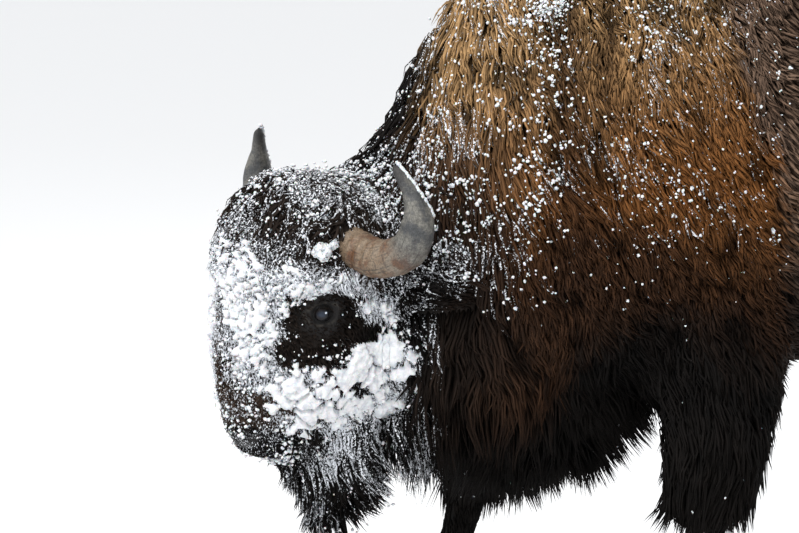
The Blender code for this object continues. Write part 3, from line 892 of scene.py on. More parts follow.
point_attribute(skin_mesh, "frost", soft_snow(read_points(skin_mesh)))

skin_tree = surface_tree(skin_mesh)


def on_skin(points):
    """The nearest places on the skin, and the skin's normals there."""
    places, normals = np.empty_like(points), np.empty_like(points)
    for i, point in enumerate(points):
        place, normal, _, _ = skin_tree.find_nearest(point)
        places[i], normals[i] = place, normal
    return places, normals


def triangles_of(mesh, what="vertices"):
    mesh.calc_loop_triangles()
    return read(mesh.loop_triangles, what, 3, np.int32)


COARSE_FACES = 9000

coarse = in_scene("coarse", skin_mesh.copy())
fewer = coarse.modifiers.new("fewer", "DECIMATE")
fewer.ratio = COARSE_FACES / len(skin_mesh.polygons)
coarse_mesh = evaluated(coarse)
coarse = in_scene("coarse", coarse_mesh)
bpy.context.view_layer.objects.active = coarse
coarse.select_set(True)
bpy.ops.object.mode_set(mode="EDIT")
bpy.ops.mesh.select_all(action="SELECT")
bpy.ops.uv.smart_project(angle_limit=math.radians(66), island_margin=0.004)
bpy.ops.object.mode_set(mode="OBJECT")
coarse_triangles = triangles_of(coarse_mesh)
coarse_points = read_points(coarse_mesh)
coarse_uv = read(coarse_mesh.uv_layers[0].uv, "vector", 2)[triangles_of(coarse_mesh, "loops")]
coarse_tree = BVHTree.FromPolygons(coarse_points.tolist(), coarse_triangles.tolist())
bpy.data.objects.remove(coarse)


def map_place(points):
    """Places on the baked map for points on the skin."""
    found = np.empty_like(points)
    face = np.empty(len(points), dtype=int)
    for i, point in enumerate(points):
        found[i], _, face[i], _ = coarse_tree.find_nearest(point)
    a, b, c = (coarse_points[coarse_triangles[face, i]] for i in range(3))
    whole = np.cross(b - a, c - a)
    area = np.maximum((whole**2).sum(1), 1e-18)
    share_b = (np.cross(found - a, c - a) * whole).sum(1) / area
    share_c = (np.cross(b - a, found - a) * whole).sum(1) / area
    shares = np.stack([1 - share_b - share_c, share_b, share_c], 1)
    return (coarse_uv[face] * shares[:, :, None]).sum(1)


# ---------------------------------------------------------------------------------------------
# The coat. Each tuft is a tapering lock with a three-sided section that starts in the skin, runs
# along it as the fields say, and is drawn towards a leader so that the coat breaks into locks.
# ---------------------------------------------------------------------------------------------
skin_triangles = triangles_of(skin_mesh)
skin_points = read_points(skin_mesh)
skin_corners = skin_points[skin_triangles]
skin_centres = skin_corners.mean(1)
skin_areas = np.linalg.norm(
    np.cross(skin_corners[:, 1] - skin_corners[:, 0], skin_corners[:, 2] - skin_corners[:, 0]), axis=1
)
skin_bare = bare(skin_centres)
MAP_PATCH = 0.003


def coat_roots(count, weights, chance):
    """Places spread over the skin by weight, an equal share of weighted area to each."""
    share = np.cumsum(np.where(skin_bare, 0, skin_areas * weights))
    picks = (np.arange(count) + chance.random(count)) / count * share[-1]
    face = np.minimum(np.searchsorted(share, picks), len(share) - 1)
    first, second = chance.random((2, count))
    fold = first + second > 1
    first[fold], second[fold] = 1 - first[fold], 1 - second[fold]
    a, b, c = (skin_corners[face, i] for i in range(3))
    return a + (b - a) * first[:, None] + (c - a) * second[:, None]


def tuft_paths(roots, rings, chance, style):
    """The line of each tuft, as one array of points for each ring and the tip."""
    count = len(roots)
    _, normals = on_skin(roots)
    way = coat_flow(roots)
    spin = chance.normal(size=(count, 3)) * style["stray"]
    length = coat_length(roots) * chance.uniform(0.7, 1.25, count)
    depth = coat_depth(roots) * style["depth"] * chance.uniform(0.55, 1.15, count)
    depth *= 1 - 0.55 * furrow(roots)
    depth = np.where(ear_share(roots) > 0.5, 0.004, depth)
    hang = hanging(roots)
    depth += hang * 0.010
    place, normal = roots, normals
    free = roots + normals * depth[:, None] * 0.3
    path, normal_path = [roots - normals * 0.002], [normals]
    for ring in range(1, rings + 1):
        t = ring / rings
        way = coat_flow(place) + spin
        tangent = unit(way - normal * (way * normal).sum(1)[:, None])
        place, normal = on_skin(place + tangent * (length / rings)[:, None])
        free = free + (unit(way) * length[:, None] + normals * depth[:, None] * 0.5) / rings
        rise = depth * (1 - (1 - min(t * style["rise"], 1.0)) ** 2)
        rise = rise * (1.0 if ring < rings else style["tip"])
        line = place + normal * rise[:, None]
        loose = (hang * t)[:, None]
        path.append(line * (1 - loose) + free * loose)
        normal_path.append(normal)
    return path, normal_path, length


def add_curl(path, normals, length, chance, style):
    """Waves that neighbours share, and a pull towards the nearest of a few leaders."""
    roots = path[0]
    phase = wobble(roots, 28, 11) * 3.0 + chance.normal(size=len(roots)) * 0.7
    rings = len(path) - 1
    leaders = chance.permutation(len(roots))[: max(1, int(len(roots) / style["clump"]))]
    tree = KDTree(len(leaders))
    for i, leader in enumerate(leaders):
        tree.insert(roots[leader], i)
    tree.balance()
    follow = np.array([leaders[tree.find(p)[1]] for p in roots])
    for k in range(1, rings + 1):
        t = k / rings
        ahead = unit(path[k] - path[k - 1])
        side = unit(np.cross(normals[k], ahead))
        wave = np.sin(phase + t * style["waves"] * math.tau) - np.sin(phase)
        sway = np.minimum(length, 0.08) * style["curl"] * t
        path[k] = path[k] + side * (wave * sway)[:, None]
        lift = np.sin(phase * 1.7 + t * style["waves"] * 5.0) * sway * 0.35
        path[k] = path[k] + normals[k] * np.maximum(lift, -0.002)[:, None]
    pulled = [path[0]]
    gap = roots[follow] - roots
    reach = np.exp(-((np.linalg.norm(gap, axis=1) / style["reach"]) ** 2))
    for k in range(1, rings + 1):
        share = (reach * style["gather"] * (k / rings) ** 1.3)[:, None]
        pulled.append(path[k] + (path[k][follow] - path[k]) * share)
    return pulled


coat_finish = Finish("coat", {"Specular IOR Level": 0.08})
lock = coat_finish.attribute("lock")
across, along, chosen = (lock.part(axis) for axis in "XYZ")
shade, colour = markings(coat_finish.attribute("root"))
strand = {"X": across * 9.0 + chosen * 57.0, "Y": along * 1.3 + chosen * 31.0}
streak = coat_finish.start.node("ShaderNodeCombineXYZ", {}, strand).noise(1.0, 2.0)
# The coat's lightness: darker towards each tuft's root, varied at random, and darkened with painted shade
# in the furrows between locks
tone_with_furrow_shade = (along ** 0.9) * 1.15 + 0.22
tone_with_furrow_shade = tone_with_furrow_shade * (chosen * 0.8 + 0.55) * (streak * 1.5 + 0.20) * shade
tone_with_furrow_shade = tone_with_furrow_shade * coat_finish.attribute("tone_with_furrow_shade", "Fac")
colour = colour.scaled(tone_with_furrow_shade)
frost = coat_finish.attribute("frost", "Fac")
grit = coat_finish.place().noise(240.0, 3.0, 0.6)
dust = (frost * (along * 0.5 + 0.35) + (grit - 0.5) * 4.0).ramp(0.62, 0.86)
dust = dust * frost.ramp(0.02, 0.20)
coat_finish.link(dust.mix(colour, FROST), "Base Color")
coat_finish.link(dust * 0.25 + 0.66, "Roughness")
coat_finish.bump(streak, 0.6, 0.002)


def mesh_object(name, points, faces, smooth=True):
    """A mesh object from an array of points and a list of face arrays, 3 or 4 corners wide."""
    mesh = bpy.data.meshes.new(name)
    faces = [np.asarray(f, dtype=np.int32) for f in faces if len(f)]
    loops = np.concatenate([f.ravel() for f in faces])
    sizes = np.concatenate([np.full(len(f), f.shape[1]) for f in faces])
    mesh.vertices.add(len(points))
    mesh.vertices.foreach_set("co", np.asarray(points, dtype=np.float32).ravel())
    mesh.loops.add(len(loops))
    mesh.loops.foreach_set("vertex_index", loops)
    mesh.polygons.add(len(sizes))
    mesh.polygons.foreach_set("loop_start", np.concatenate([[0], np.cumsum(sizes)[:-1]]))
    mesh.polygons.foreach_set("use_smooth", np.full(len(sizes), smooth))
    mesh.update(calc_edges=True)
    return in_scene(name, mesh)


def tuft_mesh(name, path, normals, length, chance, style):
    """One piece of coat: a blade round each path, its patch on the map, and what colours it."""
    count, rings = len(path[0]), len(path) - 1
    width = coat_width(length) * style["width"] * chance.uniform(0.7, 1.3, count)
    shares = np.interp(np.arange(rings) / rings, (0, 0.3, 0.7, 1), (0.75, 1.0, 0.75, 0.35))
    points, across, along = [], [], []
    for k in range(rings):
        ahead = unit(path[k + 1] - path[max(k - 1, 0)])
        side = unit(np.cross(normals[k], ahead))
        up = np.cross(ahead, side)
        half = (width * shares[k] / 2)[:, None]
        for j, (u, v) in enumerate(((-1, -0.25), (1, -0.25), (0, 0.65))):
            points.append(path[k] + side * half * u + up * half * v)
            across.append(np.full(count, (u + 1) / 2))
            along.append(np.full(count, k / rings))
    points.append(path[rings])
    across.append(np.full(count, 0.5))
    along.append(np.full(count, 1.0))
    size = 3 * rings + 1
    points = np.stack(points, 1).reshape(-1, 3)
    across, along = np.stack(across, 1).ravel(), np.stack(along, 1).ravel()
    base = (np.arange(count) * size)[:, None]
    quads, tris = [], [base + np.array([[2, 1, 0]])]
    for k in range(rings - 1):
        for j in range(3):
            n = (j + 1) % 3
            quads.append(base + np.array([[3 * k + j, 3 * k + n, 3 * k + 3 + n, 3 * k + 3 + j]]))
    for j in range(3):
        last = 3 * (rings - 1)
        tris.append(base + np.array([[last + j, last + (j + 1) % 3, size - 1]]))
    faces = [np.concatenate(tris)] + ([np.concatenate(quads)] if quads else [])
    piece = mesh_object(name, points, faces)
    mesh = piece.data
    chosen = np.repeat(chance.random(count), size)
    point_attribute(mesh, "root", np.repeat(path[0], size, axis=0))
    point_attribute(mesh, "lock", np.stack([across, along, chosen], 1))
    frost = frosted(path[0], normals[0], chance)
    point_attribute(mesh, "frost", np.repeat(frost, size))
    # Painted shade: tufts rooted in the furrows between locks are darkened
    point_attribute(mesh, "tone_with_furrow_shade", np.repeat(1 - 0.62 * furrow(path[0]), size))
    spots = map_place(path[0]).repeat(size, axis=0)
    spots += (np.stack([across, along], 1) - 0.5) * MAP_PATCH
    corner = read(mesh.loops, "vertex_index", 1, np.int32)[:, 0]
    layer = mesh.uv_layers.new(name="OFBake")
    layer.uv.foreach_set("vector", spots[corner].astype(np.float32).ravel())
    mesh.materials.append(coat_finish.material)
    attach(piece, "root")


# Dark gaps in the crown's snow, and snow along the jaw, under the chin and on the neck behind it
CROWN_GAPS = (
    (0.70, -0.015, 0.218, 0.032, 0.045), (0.70, 0.105, 0.170, 0.065, 0.035),
    (0.75, 0.170, 0.195, 0.060, 0.030),
)
JAW_FROST = (
    (1.00, 0.330, -0.120, 0.085, 0.210), (0.80, 0.20, -0.262, 0.15, 0.060),
    (0.85, 0.414, 0.131, 0.060, 0.115),
)


def frosted(points, normals, chance):
    """How much snow dust a tuft holds, from 0 to 1."""
    b, h = to_body(points), to_head(points)
    x, z = b[:, 0], b[:, 2]
    head = head_share(b, h)
    cloud = wobble(points, 22, 21) * 0.5 + wobble(points, 60, 22) * 0.35
    drift = 1 + 0.42 * wobble(points, 12, 23) + 0.22 * wobble(points, 34, 24)
    neck = ramp(-x, 0.28, 0.42) * ramp(z, 0.84, 0.96) * (1 - 0.40 * ramp(z, 1.16, 1.30)) * (1 - head)
    u, up = turned_places(points)
    crown = head * ramp(up, 0.02, 0.10) * (0.85 + 0.25 * drift)
    for strength, *ellipse in CROWN_GAPS:
        crown *= 1 - strength * patch(u, up, *ellipse)
    face = head * (1 - ramp(h[:, 0], 0.02, 0.20)) * (1 - ramp(h[:, 2], 0.02, 0.10))
    face *= 1 - 0.8 * eye_clearing(points)
    face *= 0.60 + 0.40 * ramp(u, -0.185, -0.135)
    shoulder = (1 - ramp(x, 0.05, 0.15)) * ramp(z, 0.95, 1.2) * 0.36 * drift
    jaw = largest(u, up, JAW_FROST) * (1 - ramp(x, -0.38, -0.34))
    strands = 1 + 0.4 * wobble(points * (1, 1, 0.12), 150, 25)
    amount = np.maximum.reduce([neck * 0.68, crown * 0.98, face * 0.78, jaw * strands, shoulder])
    top = 0.55 + 0.45 * normals[:, 2]
    top = np.maximum(top, 0.75 * (crown > 0.1))
    level = amount * (0.55 + 0.6 * top) + cloud * 0.35 + chance.normal(size=len(points)) * 0.22
    packed = soft_snow(points)
    return ramp(level, 0.55, 1.0) * (amount > 0.02) * (1 - packed) + packed * 1.5


# How each kind of hair stands off the skin, curls and gathers into locks
STYLE = ("depth", "stray", "rise", "tip", "waves", "curl", "clump", "gather", "reach", "width")
STYLES = {
    "cape": (1.0, 0.18, 1.8, 1.0, 0.95, 0.14, 6, 0.65, 0.030, 0.80),
    "long": (1.0, 0.10, 1.8, 0.9, 0.9, 0.12, 7, 0.75, 0.040, 0.85),
    "sleek": (1.1, 0.16, 1.8, 1.0, 0.6, 0.12, 6, 0.55, 0.022, 1.12),
    "short": (0.7, 0.12, 2.2, 0.6, 0.3, 0.0, 5, 0.35, 0.014, 1.0),
    "bonnet": (1.0, 0.55, 1.8, 1.0, 1.1, 0.24, 5, 0.60, 0.025, 0.9),
    "face": (0.9, 0.22, 2.0, 0.9, 0.5, 0.08, 5, 0.45, 0.014, 1.0),
}


def region_weights(points):
    """Density of roots for each part of the coat; a place can belong to two parts at an edge."""
    b, h = to_body(points), to_head(points)
    x, z = b[:, 0], b[:, 2]
    head = head_share(b, h)
    body = 1 - head
    cape = 1 - ramp(x, 0.12, 0.18)
    leg = 1 - ramp(z, 0.42, 0.47)
    hind = ramp(x, 0.12, 0.18)
    tail = ramp(x, 1.49, 1.51)
    neck = cape * ramp(-x, 0.30, 0.42)
    low = cape * (1 - ramp(z, 0.72, 0.86))
    crown = head * ramp(h[:, 2], 0.02, 0.08)
    beard = head * ramp(h[:, 0], -0.02, 0.02) * (1 - ramp(h[:, 2], -0.24, -0.18))
    left = ramp(-b[:, 1], -0.02, 0.02)
    ear = ear_share(points)
    body, crown, head = body * (1 - ear), crown * (1 - ear), head * (1 - ear)
    return {
        "cape_left": body * cape * (1 - neck) * (1 - low) * left,
        "cape_right": body * cape * (1 - neck) * (1 - low) * (1 - left),
        "neck": body * neck * (1 - low),
        "chest": body * low * (1 - leg),
        "barrel": body * hind * (1 - leg) * (1 - tail) * (1 - ramp(x, 0.85, 0.9)),
        "rump": body * hind * (1 - leg) * (1 - tail) * ramp(x, 0.85, 0.9),
        "legs": body * leg * (1 - tail) * ramp(z, 0.050, 0.062) * (1 + 2.5 * (1 - ramp(z, 0.07, 0.10))),
        "tail": tail,
        "crown": crown,
        "face": head * (1 - crown) * (1 - beard) * (1 + 1.5 * (1 - ramp(h[:, 2], -0.2, -0.1))),
        "beard": beard,
        "ears": ear,
    }


COAT = (
    ("cape_left", "cape_fur", 18500, 2, "cape"),
    ("cape_right", "cape_fur", 15000, 2, "cape"),
    ("neck", "mane_fur", 10200, 3, "long"),
    ("chest", "dark_wool", 10000, 3, "long"),
    ("barrel", "body_fur", 13200, 2, "sleek"),
    ("rump", "body_fur", 10300, 2, "sleek"),
    ("legs", "leg_fur", 9500, 2, "short"),
    ("tail", "dark_wool", 1200, 4, "long"),
    ("crown", "face_fur", 8500, 3, "bonnet"),
    ("face", "face_fur", 15000, 2, "face"),
    ("beard", "dark_wool", 2200, 5, "long"),
    ("ears", "face_fur", 1500, 2, "short"),
)

fur_parts = {}
weights = region_weights(skin_centres)
for seed, (name, slot, count, rings, style_name) in enumerate(COAT):
    chance = np.random.default_rng(100 + seed)
    style = dict(zip(STYLE, STYLES[style_name]))
    roots = coat_roots(count, weights[name], chance)
    path, normals, length = tuft_paths(roots, rings, chance, style)
    path = add_curl(path, normals, length, chance, style)
    tuft_mesh("fur_" + name, path, normals, length, chance, style)
    fur_parts[name] = (path[-2:], normals[-1])


def lash_paths(chance):
    """Short lashes that lean out from the upper lids and droop a little."""
    roots, ways, outs = [], [], []
    for side in (-1, 1):
        for angle in np.linspace(0.25, math.pi - 0.25, 46):
            across, up = math.cos(angle) * 1.03, math.sin(angle) * 1.05
            x, z = across * LID_OPENING[0] + LID_MIDDLE[0], up * LID_OPENING[1] + LID_MIDDLE[1]
            reach = math.sqrt(max(EYE_RADIUS**2 - x * x - z * z, 0)) + 0.0015
            roots.append((x, side * (EYE_Y + reach), z))
            ways.append((across * 0.5 - 0.2, side * 1.1, 0.30))
            outs.append((0.0, side * 0.4, 0.9))
    roots = out_of_head(roots)
    ways, outs = unit(np.array(ways) @ TURN.T), unit(np.array(outs) @ TURN.T)
    length = chance.uniform(0.010, 0.016, len(roots))
    ways = unit(ways + chance.normal(size=ways.shape) * 0.10)
    steps = [-0.15, 0.35, 0.7, 1.0]
    drop = np.array((0, 0, -1.0))
    path = [roots + ways * (length * t)[:, None] + drop * (length * 0.45 * t * t)[:, None] for t in steps]
    return path, [outs] * 4, length


chance = np.random.default_rng(140)
path, normals, length = lash_paths(chance)
tuft_mesh("fur_lashes", path, normals, length, chance, dict(width=0.35))


# ---------------------------------------------------------------------------------------------
# Horns, eyes and hooves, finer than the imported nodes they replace: horns ridged at the base and
# worn at the tip, glossy dark eyeballs with a wide pupil, and hooves with growth rings.
# ---------------------------------------------------------------------------------------------
HORN_LINE = (
    (0.050, 0.100, 0.156), (0.067, 0.170, 0.136), (0.083, 0.235, 0.126), (0.112, 0.290, 0.152),
    (0.117, 0.318, 0.215), (0.106, 0.301, 0.275), (0.084, 0.270, 0.330),
)
HORN_TAPER = (1, 1, 0.97, 0.96, 0.83, 0.40, 0.22)
HORN_RADIUS = 0.0425
HORN_RINGS = 110
RIDGE_HEIGHT = 0.022
ROUGHNESS = 0.03


def spline(rows, count):
    """Points spaced along a smooth curve through the rows."""
    rows = np.array(rows, dtype=float)
    padded = np.vstack([2 * rows[0] - rows[1], rows, 2 * rows[-1] - rows[-2]])
    out = []
    for t in np.linspace(0, len(rows) - 1, count):
        k = min(int(t), len(rows) - 2)
        u = t - k
        a, b, c, d = padded[k : k + 4]
        out.append(
            b + 0.5 * u * (c - a + u * (2 * a - 5 * b + 4 * c - d + u * (3 * (b - c) + d - a)))
        )
    return np.array(out)


def horn_mesh(name, side, seed):
    """A curved, ridged cone whose points carry their angle and their share of its length."""
    rings, around = HORN_RINGS, 36
    line = spline(HORN_LINE, rings)
    taper = np.interp(np.linspace(0, 6, rings), range(7), HORN_TAPER) * HORN_RADIUS
    neighbours = np.stack([np.arange(rings - 1), np.arange(1, rings)], 1)
    taper = relaxed(taper[:, None].repeat(3, 1), neighbours, 8)[:, 0]
    along = np.linspace(0, 1, rings)
    taper *= np.sqrt(1 - 0.97 * ramp(along, 0.94, 1.0) ** 2)
    forward = unit(np.gradient(line, axis=0))
    across = unit(np.cross(forward, (1.0, 0.0, 0.0)))
    other = np.cross(forward, across)
    angle = np.linspace(0, math.tau, around, endpoint=False)
    points, marks = [], []
    for i in range(rings):
        circle = np.outer(np.cos(angle), across[i]) + np.outer(np.sin(angle), other[i])
        rough = wobble(line[i] + circle * taper[i], 90, seed) * ROUGHNESS * (1.2 - along[i])
        ridge = math.sin(along[i] * 120 + wobble(line[i : i + 1], 40, seed)[0] * 3) * RIDGE_HEIGHT
        radius = taper[i] * (1 + rough + ridge * ramp(-along[i], -0.55, -0.25))
        points.append(line[i] + circle * radius[:, None])
        marks.append(np.stack([np.cos(angle), np.sin(angle), np.full(around, along[i])], 1))
    start = np.arange(rings - 1)[:, None] * around
    j = np.arange(around)[None, :]
    n = (j + 1) % around
    quads = np.stack([start + j, start + around + j, start + around + n, start + n], 2).reshape(-1, 4)
    points = np.concatenate(points + [line[:1], line[-1:]])
    root, tip, last = rings * around, rings * around + 1, (rings - 1) * around
    n = (np.arange(around) + 1) % around
    ends = np.concatenate([
        np.stack([np.full(around, root), np.arange(around), n], 1),
        np.stack([np.full(around, tip), last + n, last + np.arange(around)], 1),
    ])
    piece = mesh_object(name, out_of_head(points, side), [ends[:, ::-side], quads[:, ::-side]])
    marks = np.concatenate(marks + [[(0, 0, 0)], [(0, 0, 1)]])
    point_attribute(piece.data, "horn", marks)
    return piece


horn_finish = Finish("horn_sheath")
mark = horn_finish.attribute("horn")
along = mark.part("Z")
fibre = mark.vector("MULTIPLY", (4.0, 4.0, 2.5)).noise(2.0, 5.0, 0.65)
rings_noise = mark.vector("MULTIPLY", (0.7, 0.7, 26.0)).noise(1.5, 4.0, 0.6)
blotch = horn_finish.place().noise(34.0, 4.0)
base = blotch.ramp(0.36, 0.58).mix((0.150, 0.066, 0.027), (0.255, 0.180, 0.115))
grey = blotch.ramp(0.38, 0.60).mix((0.060, 0.064, 0.068), (0.190, 0.182, 0.160))
sheath = (along + (blotch - 0.5) * 0.35).ramp(0.34, 0.60).mix(base, grey)
sheath = (along + (fibre - 0.5) * 0.2).ramp(0.84, 0.97).mix(sheath, (0.035, 0.033, 0.033))
sheath = (rings_noise.ramp(0.56, 0.68) * 0.55 * along.ramp(0.75, 0.40)).mix(sheath, (0.045, 0.028, 0.018))
sheath = (fibre.ramp(0.60, 0.72) * 0.40).mix(sheath, (0.30, 0.26, 0.20))
sheath = (fibre.ramp(0.46, 0.34) * 0.65).mix(sheath, (0.030, 0.022, 0.017))
sheath = sheath.scaled(horn_finish.place().noise(240.0, 4.0, 0.75) * 2.2 - 0.45)
horn_finish.link(sheath, "Base Color")
horn_finish.link(fibre * 0.35 + 0.33, "Roughness")
horn_finish.bump(rings_noise * 1.2 + fibre * 0.8 + blotch, 0.7, 0.003)
for seed, name in enumerate(("horn_left", "horn_right")):
    horn = horn_mesh(name + "_sheath", -1 if "left" in name else 1, 50 + seed)
    horn.data.materials.append(horn_finish.material)
    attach(horn, "root")
    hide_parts(name)

wet = {"Coat Weight": 0.30, "Coat Roughness": 0.03, "Coat Tint": (0.72, 0.84, 1.0, 1)}
eye_finish = Finish("eyeball", {"Roughness": 0.4, "Specular IOR Level": 0.05} | wet)
gaze = eye_finish.attribute("gaze")
gx, gz = gaze.part("X"), gaze.part("Z")
rim = squares(gx, gz) ** 0.5
pupil = (gx * gx * 4.2 + gz * gz * 16.0) ** 0.5
streaks = gaze.vector("MULTIPLY", (3.0, 0.4, 3.0)).noise(4.0, 4.0)
iris = streaks.ramp(0.35, 0.70).mix((0.008, 0.007, 0.008), (0.022, 0.018, 0.018))
iris = rim.ramp(0.56, 0.68).mix(iris, (0.005, 0.005, 0.006))
eyeball = pupil.ramp(1.0, 0.8).mix(iris, (0.003, 0.005, 0.011))
eyeball = rim.ramp(0.76, 0.90).mix(eyeball, (0.016, 0.012, 0.012))
# Painted reflection: a soft blue-grey sheen and a small pale highlight are painted into the eyeball's
# colour
sheen = squares(gx - 0.10, gz - 0.02, 1.6) ** 0.5
eyeball = (sheen.ramp(0.60, 0.15) * 0.8).mix(eyeball, (0.030, 0.037, 0.054))
glint = squares(gx - 0.46, gz - 0.16) ** 0.5
eyeball = glint.ramp(0.120, 0.080).mix(eyeball, (0.70, 0.73, 0.78))
eye_finish.link(eyeball, "Base Color")


def unit_ball(around, rings):
    """A sphere with its poles on the Y axis, as points and faces that always come in one order."""
    bm = bmesh.new()
    bmesh.ops.create_uvsphere(bm, u_segments=around, v_segments=rings, radius=1.0)
    points = np.array([(v.co.x, v.co.z, -v.co.y) for v in bm.verts])
    order = np.lexsort(points.round(5).T)
    rank = np.argsort(order).tolist()
    faces = [[rank[v.index] for v in f.verts] for f in bm.faces]
    bm.free()
    starts = [face.index(min(face)) for face in faces]
    return points[order], sorted(face[i:] + face[:i] for face, i in zip(faces, starts))


ball, ball_faces = unit_ball(64, 40)
cornea = 1 + 0.05 * ramp(np.maximum(ball[:, 1], 0), 0.80, 0.93)
shape = ball * cornea[:, None] * EYE_RADIUS + np.array((0, EYE_Y, 0))
gaze_turn = np.array(Matrix.Rotation(math.radians(28), 3, "Z"))
for name in ("eye_left", "eye_right"):
    side = -1 if "left" in name else 1
    sized = [[f[::side] for f in ball_faces if len(f) == corners] for corners in (3, 4)]
    eyeball = mesh_object(name + "_ball", out_of_head(shape, side), sized)
    point_attribute(eyeball.data, "gaze", ball @ gaze_turn)
    eyeball.data.materials.append(eye_finish.material)
    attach(eyeball, "root")
    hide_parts(name)

HOOF_HEIGHT = 0.0614
CLAW_VOXEL = 0.0045
SOLE_FLAT = 0.003

hoof_finish = Finish("hoof_horn", {"Specular IOR Level": 0.25})
at_hoof = hoof_finish.place()
growth = at_hoof.vector("MULTIPLY", (6.0, 6.0, 210.0)).noise(1.0, 3.0)
grain = at_hoof.vector("MULTIPLY", (300.0, 300.0, 40.0)).noise(1.0, 3.0)
horny = growth.ramp(0.35, 0.65).mix((0.012, 0.010, 0.009), (0.040, 0.033, 0.028))
hoof_finish.link((grain.ramp(0.5, 0.75) * 0.4).mix(horny, (0.075, 0.064, 0.054)), "Base Color")
hoof_finish.link(grain * 0.4 + 0.35, "Roughness")
hoof_finish.bump(growth + grain * 0.5, 0.6, 0.002)
for name in sorted(n for n in nodes if n.startswith("hoof")):
    claw = remeshed(closed_part(name), CLAW_VOXEL)
    shape = read_points(claw)
    heart = shape.mean(0)
    rise = np.clip(shape[:, 2] / HOOF_HEIGHT, 0, 1)
    across, heel = foot_place(name.removeprefix("hoof_").rsplit("_", 1)[0])
    shape[:, 0] = heel - (heel - shape[:, 0]) * (0.93 - 0.17 * rise)
    shape[:, 1] += (across - shape[:, 1]) * 0.17 * rise**2
    ridges = np.sin(shape[:, 2] * 900 + wobble(shape, 30, 7) * 2) * 0.0005
    shape[:, :2] += unit(shape - heart)[:, :2] * ridges[:, None]
    shape = relaxed(shape, read_edges(claw), 4)
    shape[:, 2] = np.where(shape[:, 2] < SOLE_FLAT, 0.0, shape[:, 2])
    write_points(claw, shape)
    claw.shade_smooth()
    hoof = in_scene(name + "_claw", claw)
    claw.materials.clear()
    claw.materials.append(hoof_finish.material)
    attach(hoof, "root")
    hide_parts(name)

DEWCLAW_RADII = (0.014, 0.012, 0.021)
DEWCLAW_LEAN = Matrix.Rotation(math.radians(-24), 4, "Y").to_quaternion()

dewclaws = in_scene("dewclaws", bpy.data.meshes.new("dewclaws"))
with editing(dewclaws.data) as bm:
    for foot in FEET:
        across, heel = foot_place(foot)
        for side in (-1, 1):
            add_ball(bm, (heel - 0.034, across + side * 0.026, 0.100), DEWCLAW_RADII, DEWCLAW_LEAN)
dewclaws.data.shade_smooth()
dewclaws.data.materials.append(hoof_finish.material)
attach(dewclaws, "root")


# ---------------------------------------------------------------------------------------------
# Snow caught in the coat. Cracked plates of crust lie on the cheeks and the face, and flecks and
# crumbs cling to the tips of the hair, most over the crown, the neck and the shoulders.
# ---------------------------------------------------------------------------------------------
CHEEK_CRUST = ((1.00, 0.085, -0.192, 0.170, 0.100), (1.00, 0.240, -0.138, 0.118, 0.122))
# Forehead, brow, bridge of the nose, and behind the eye
LOOSE_CRUST = (
    (1.00, -0.076, 0.030, 0.105, 0.100), (0.95, 0.070, 0.072, 0.125, 0.042),
    (0.90, -0.064, -0.075, 0.068, 0.105), (0.74, 0.230, 0.010, 0.060, 0.050),
)
CRUST_EDGE = 0.0043
# How many plates, and the seed of each layer: slabs, pieces and crumbs
PLATES = ((95, 61), (1300, 71), (6000, 77))


def crust_share(points):
    """Where the head carries crust, from 0 to 1, and how coarse its plates are."""
    b, h = to_body(points), to_head(points)
    u, z = turned_places(points)
    cheek = largest(u, z, CHEEK_CRUST)
    loose = largest(u, z + 0.022 * wobble(points, 34, 35), LOOSE_CRUST)
    share = np.maximum(cheek, loose) * (1 - eye_clearing(points))
    share *= np.where(h[:, 1] > 0, 0.92, 1.0) * head_share(b, h)
    share *= 0.10 + 0.90 * ramp(u + 0.02 * wobble(points, 60, 34), -0.172, -0.138)
    cloud = 0.5 + 0.30 * wobble(points, 26, 31) + 0.32 * wobble(points, 80, 32)
    cloud += 0.22 * wobble(points, 190, 33)
    return ramp(share + cloud * 0.75, 0.72, 1.20) * (share > 0.06), ramp(cheek, 0.15, 0.5)


def plate_field(points, count, seed):
    """Distance to the nearest crack between plates, each plate's chance value, and its tilt."""
    chance = np.random.default_rng(seed)
    seeds = points[chance.integers(0, len(points), count)]
    tree = KDTree(count)
    for i, place in enumerate(seeds):
        tree.insert(place, i)
    tree.balance()
    value, lean = chance.random(count), chance.normal(size=(count, 3))
    warp = np.stack([wobble(points, 60, seed + k) for k in range(3)], 1) * 0.009
    warp += np.stack([wobble(points, 210, seed + 5 + k) for k in range(3)], 1) * 0.0028
    crack, own, tilt = np.empty(len(points)), np.empty(len(points)), np.empty(len(points))
    for i, place in enumerate(points + warp):
        (_, first, near), (_, _, far) = tree.find_n(place, 2)
        crack[i], own[i] = far - near, value[first]
        tilt[i] = (place - seeds[first]) @ lean[first]
    return crack, own, tilt


def keep_faces(mesh, chosen):
    """Drops the faces that have no chosen corner."""
    chosen = chosen.tolist()
    with editing(mesh) as bm:
        drop = [f for f in bm.faces if not any(chosen[v.index] for v in f.verts)]
        bmesh.ops.delete(bm, geom=drop, context="FACES")


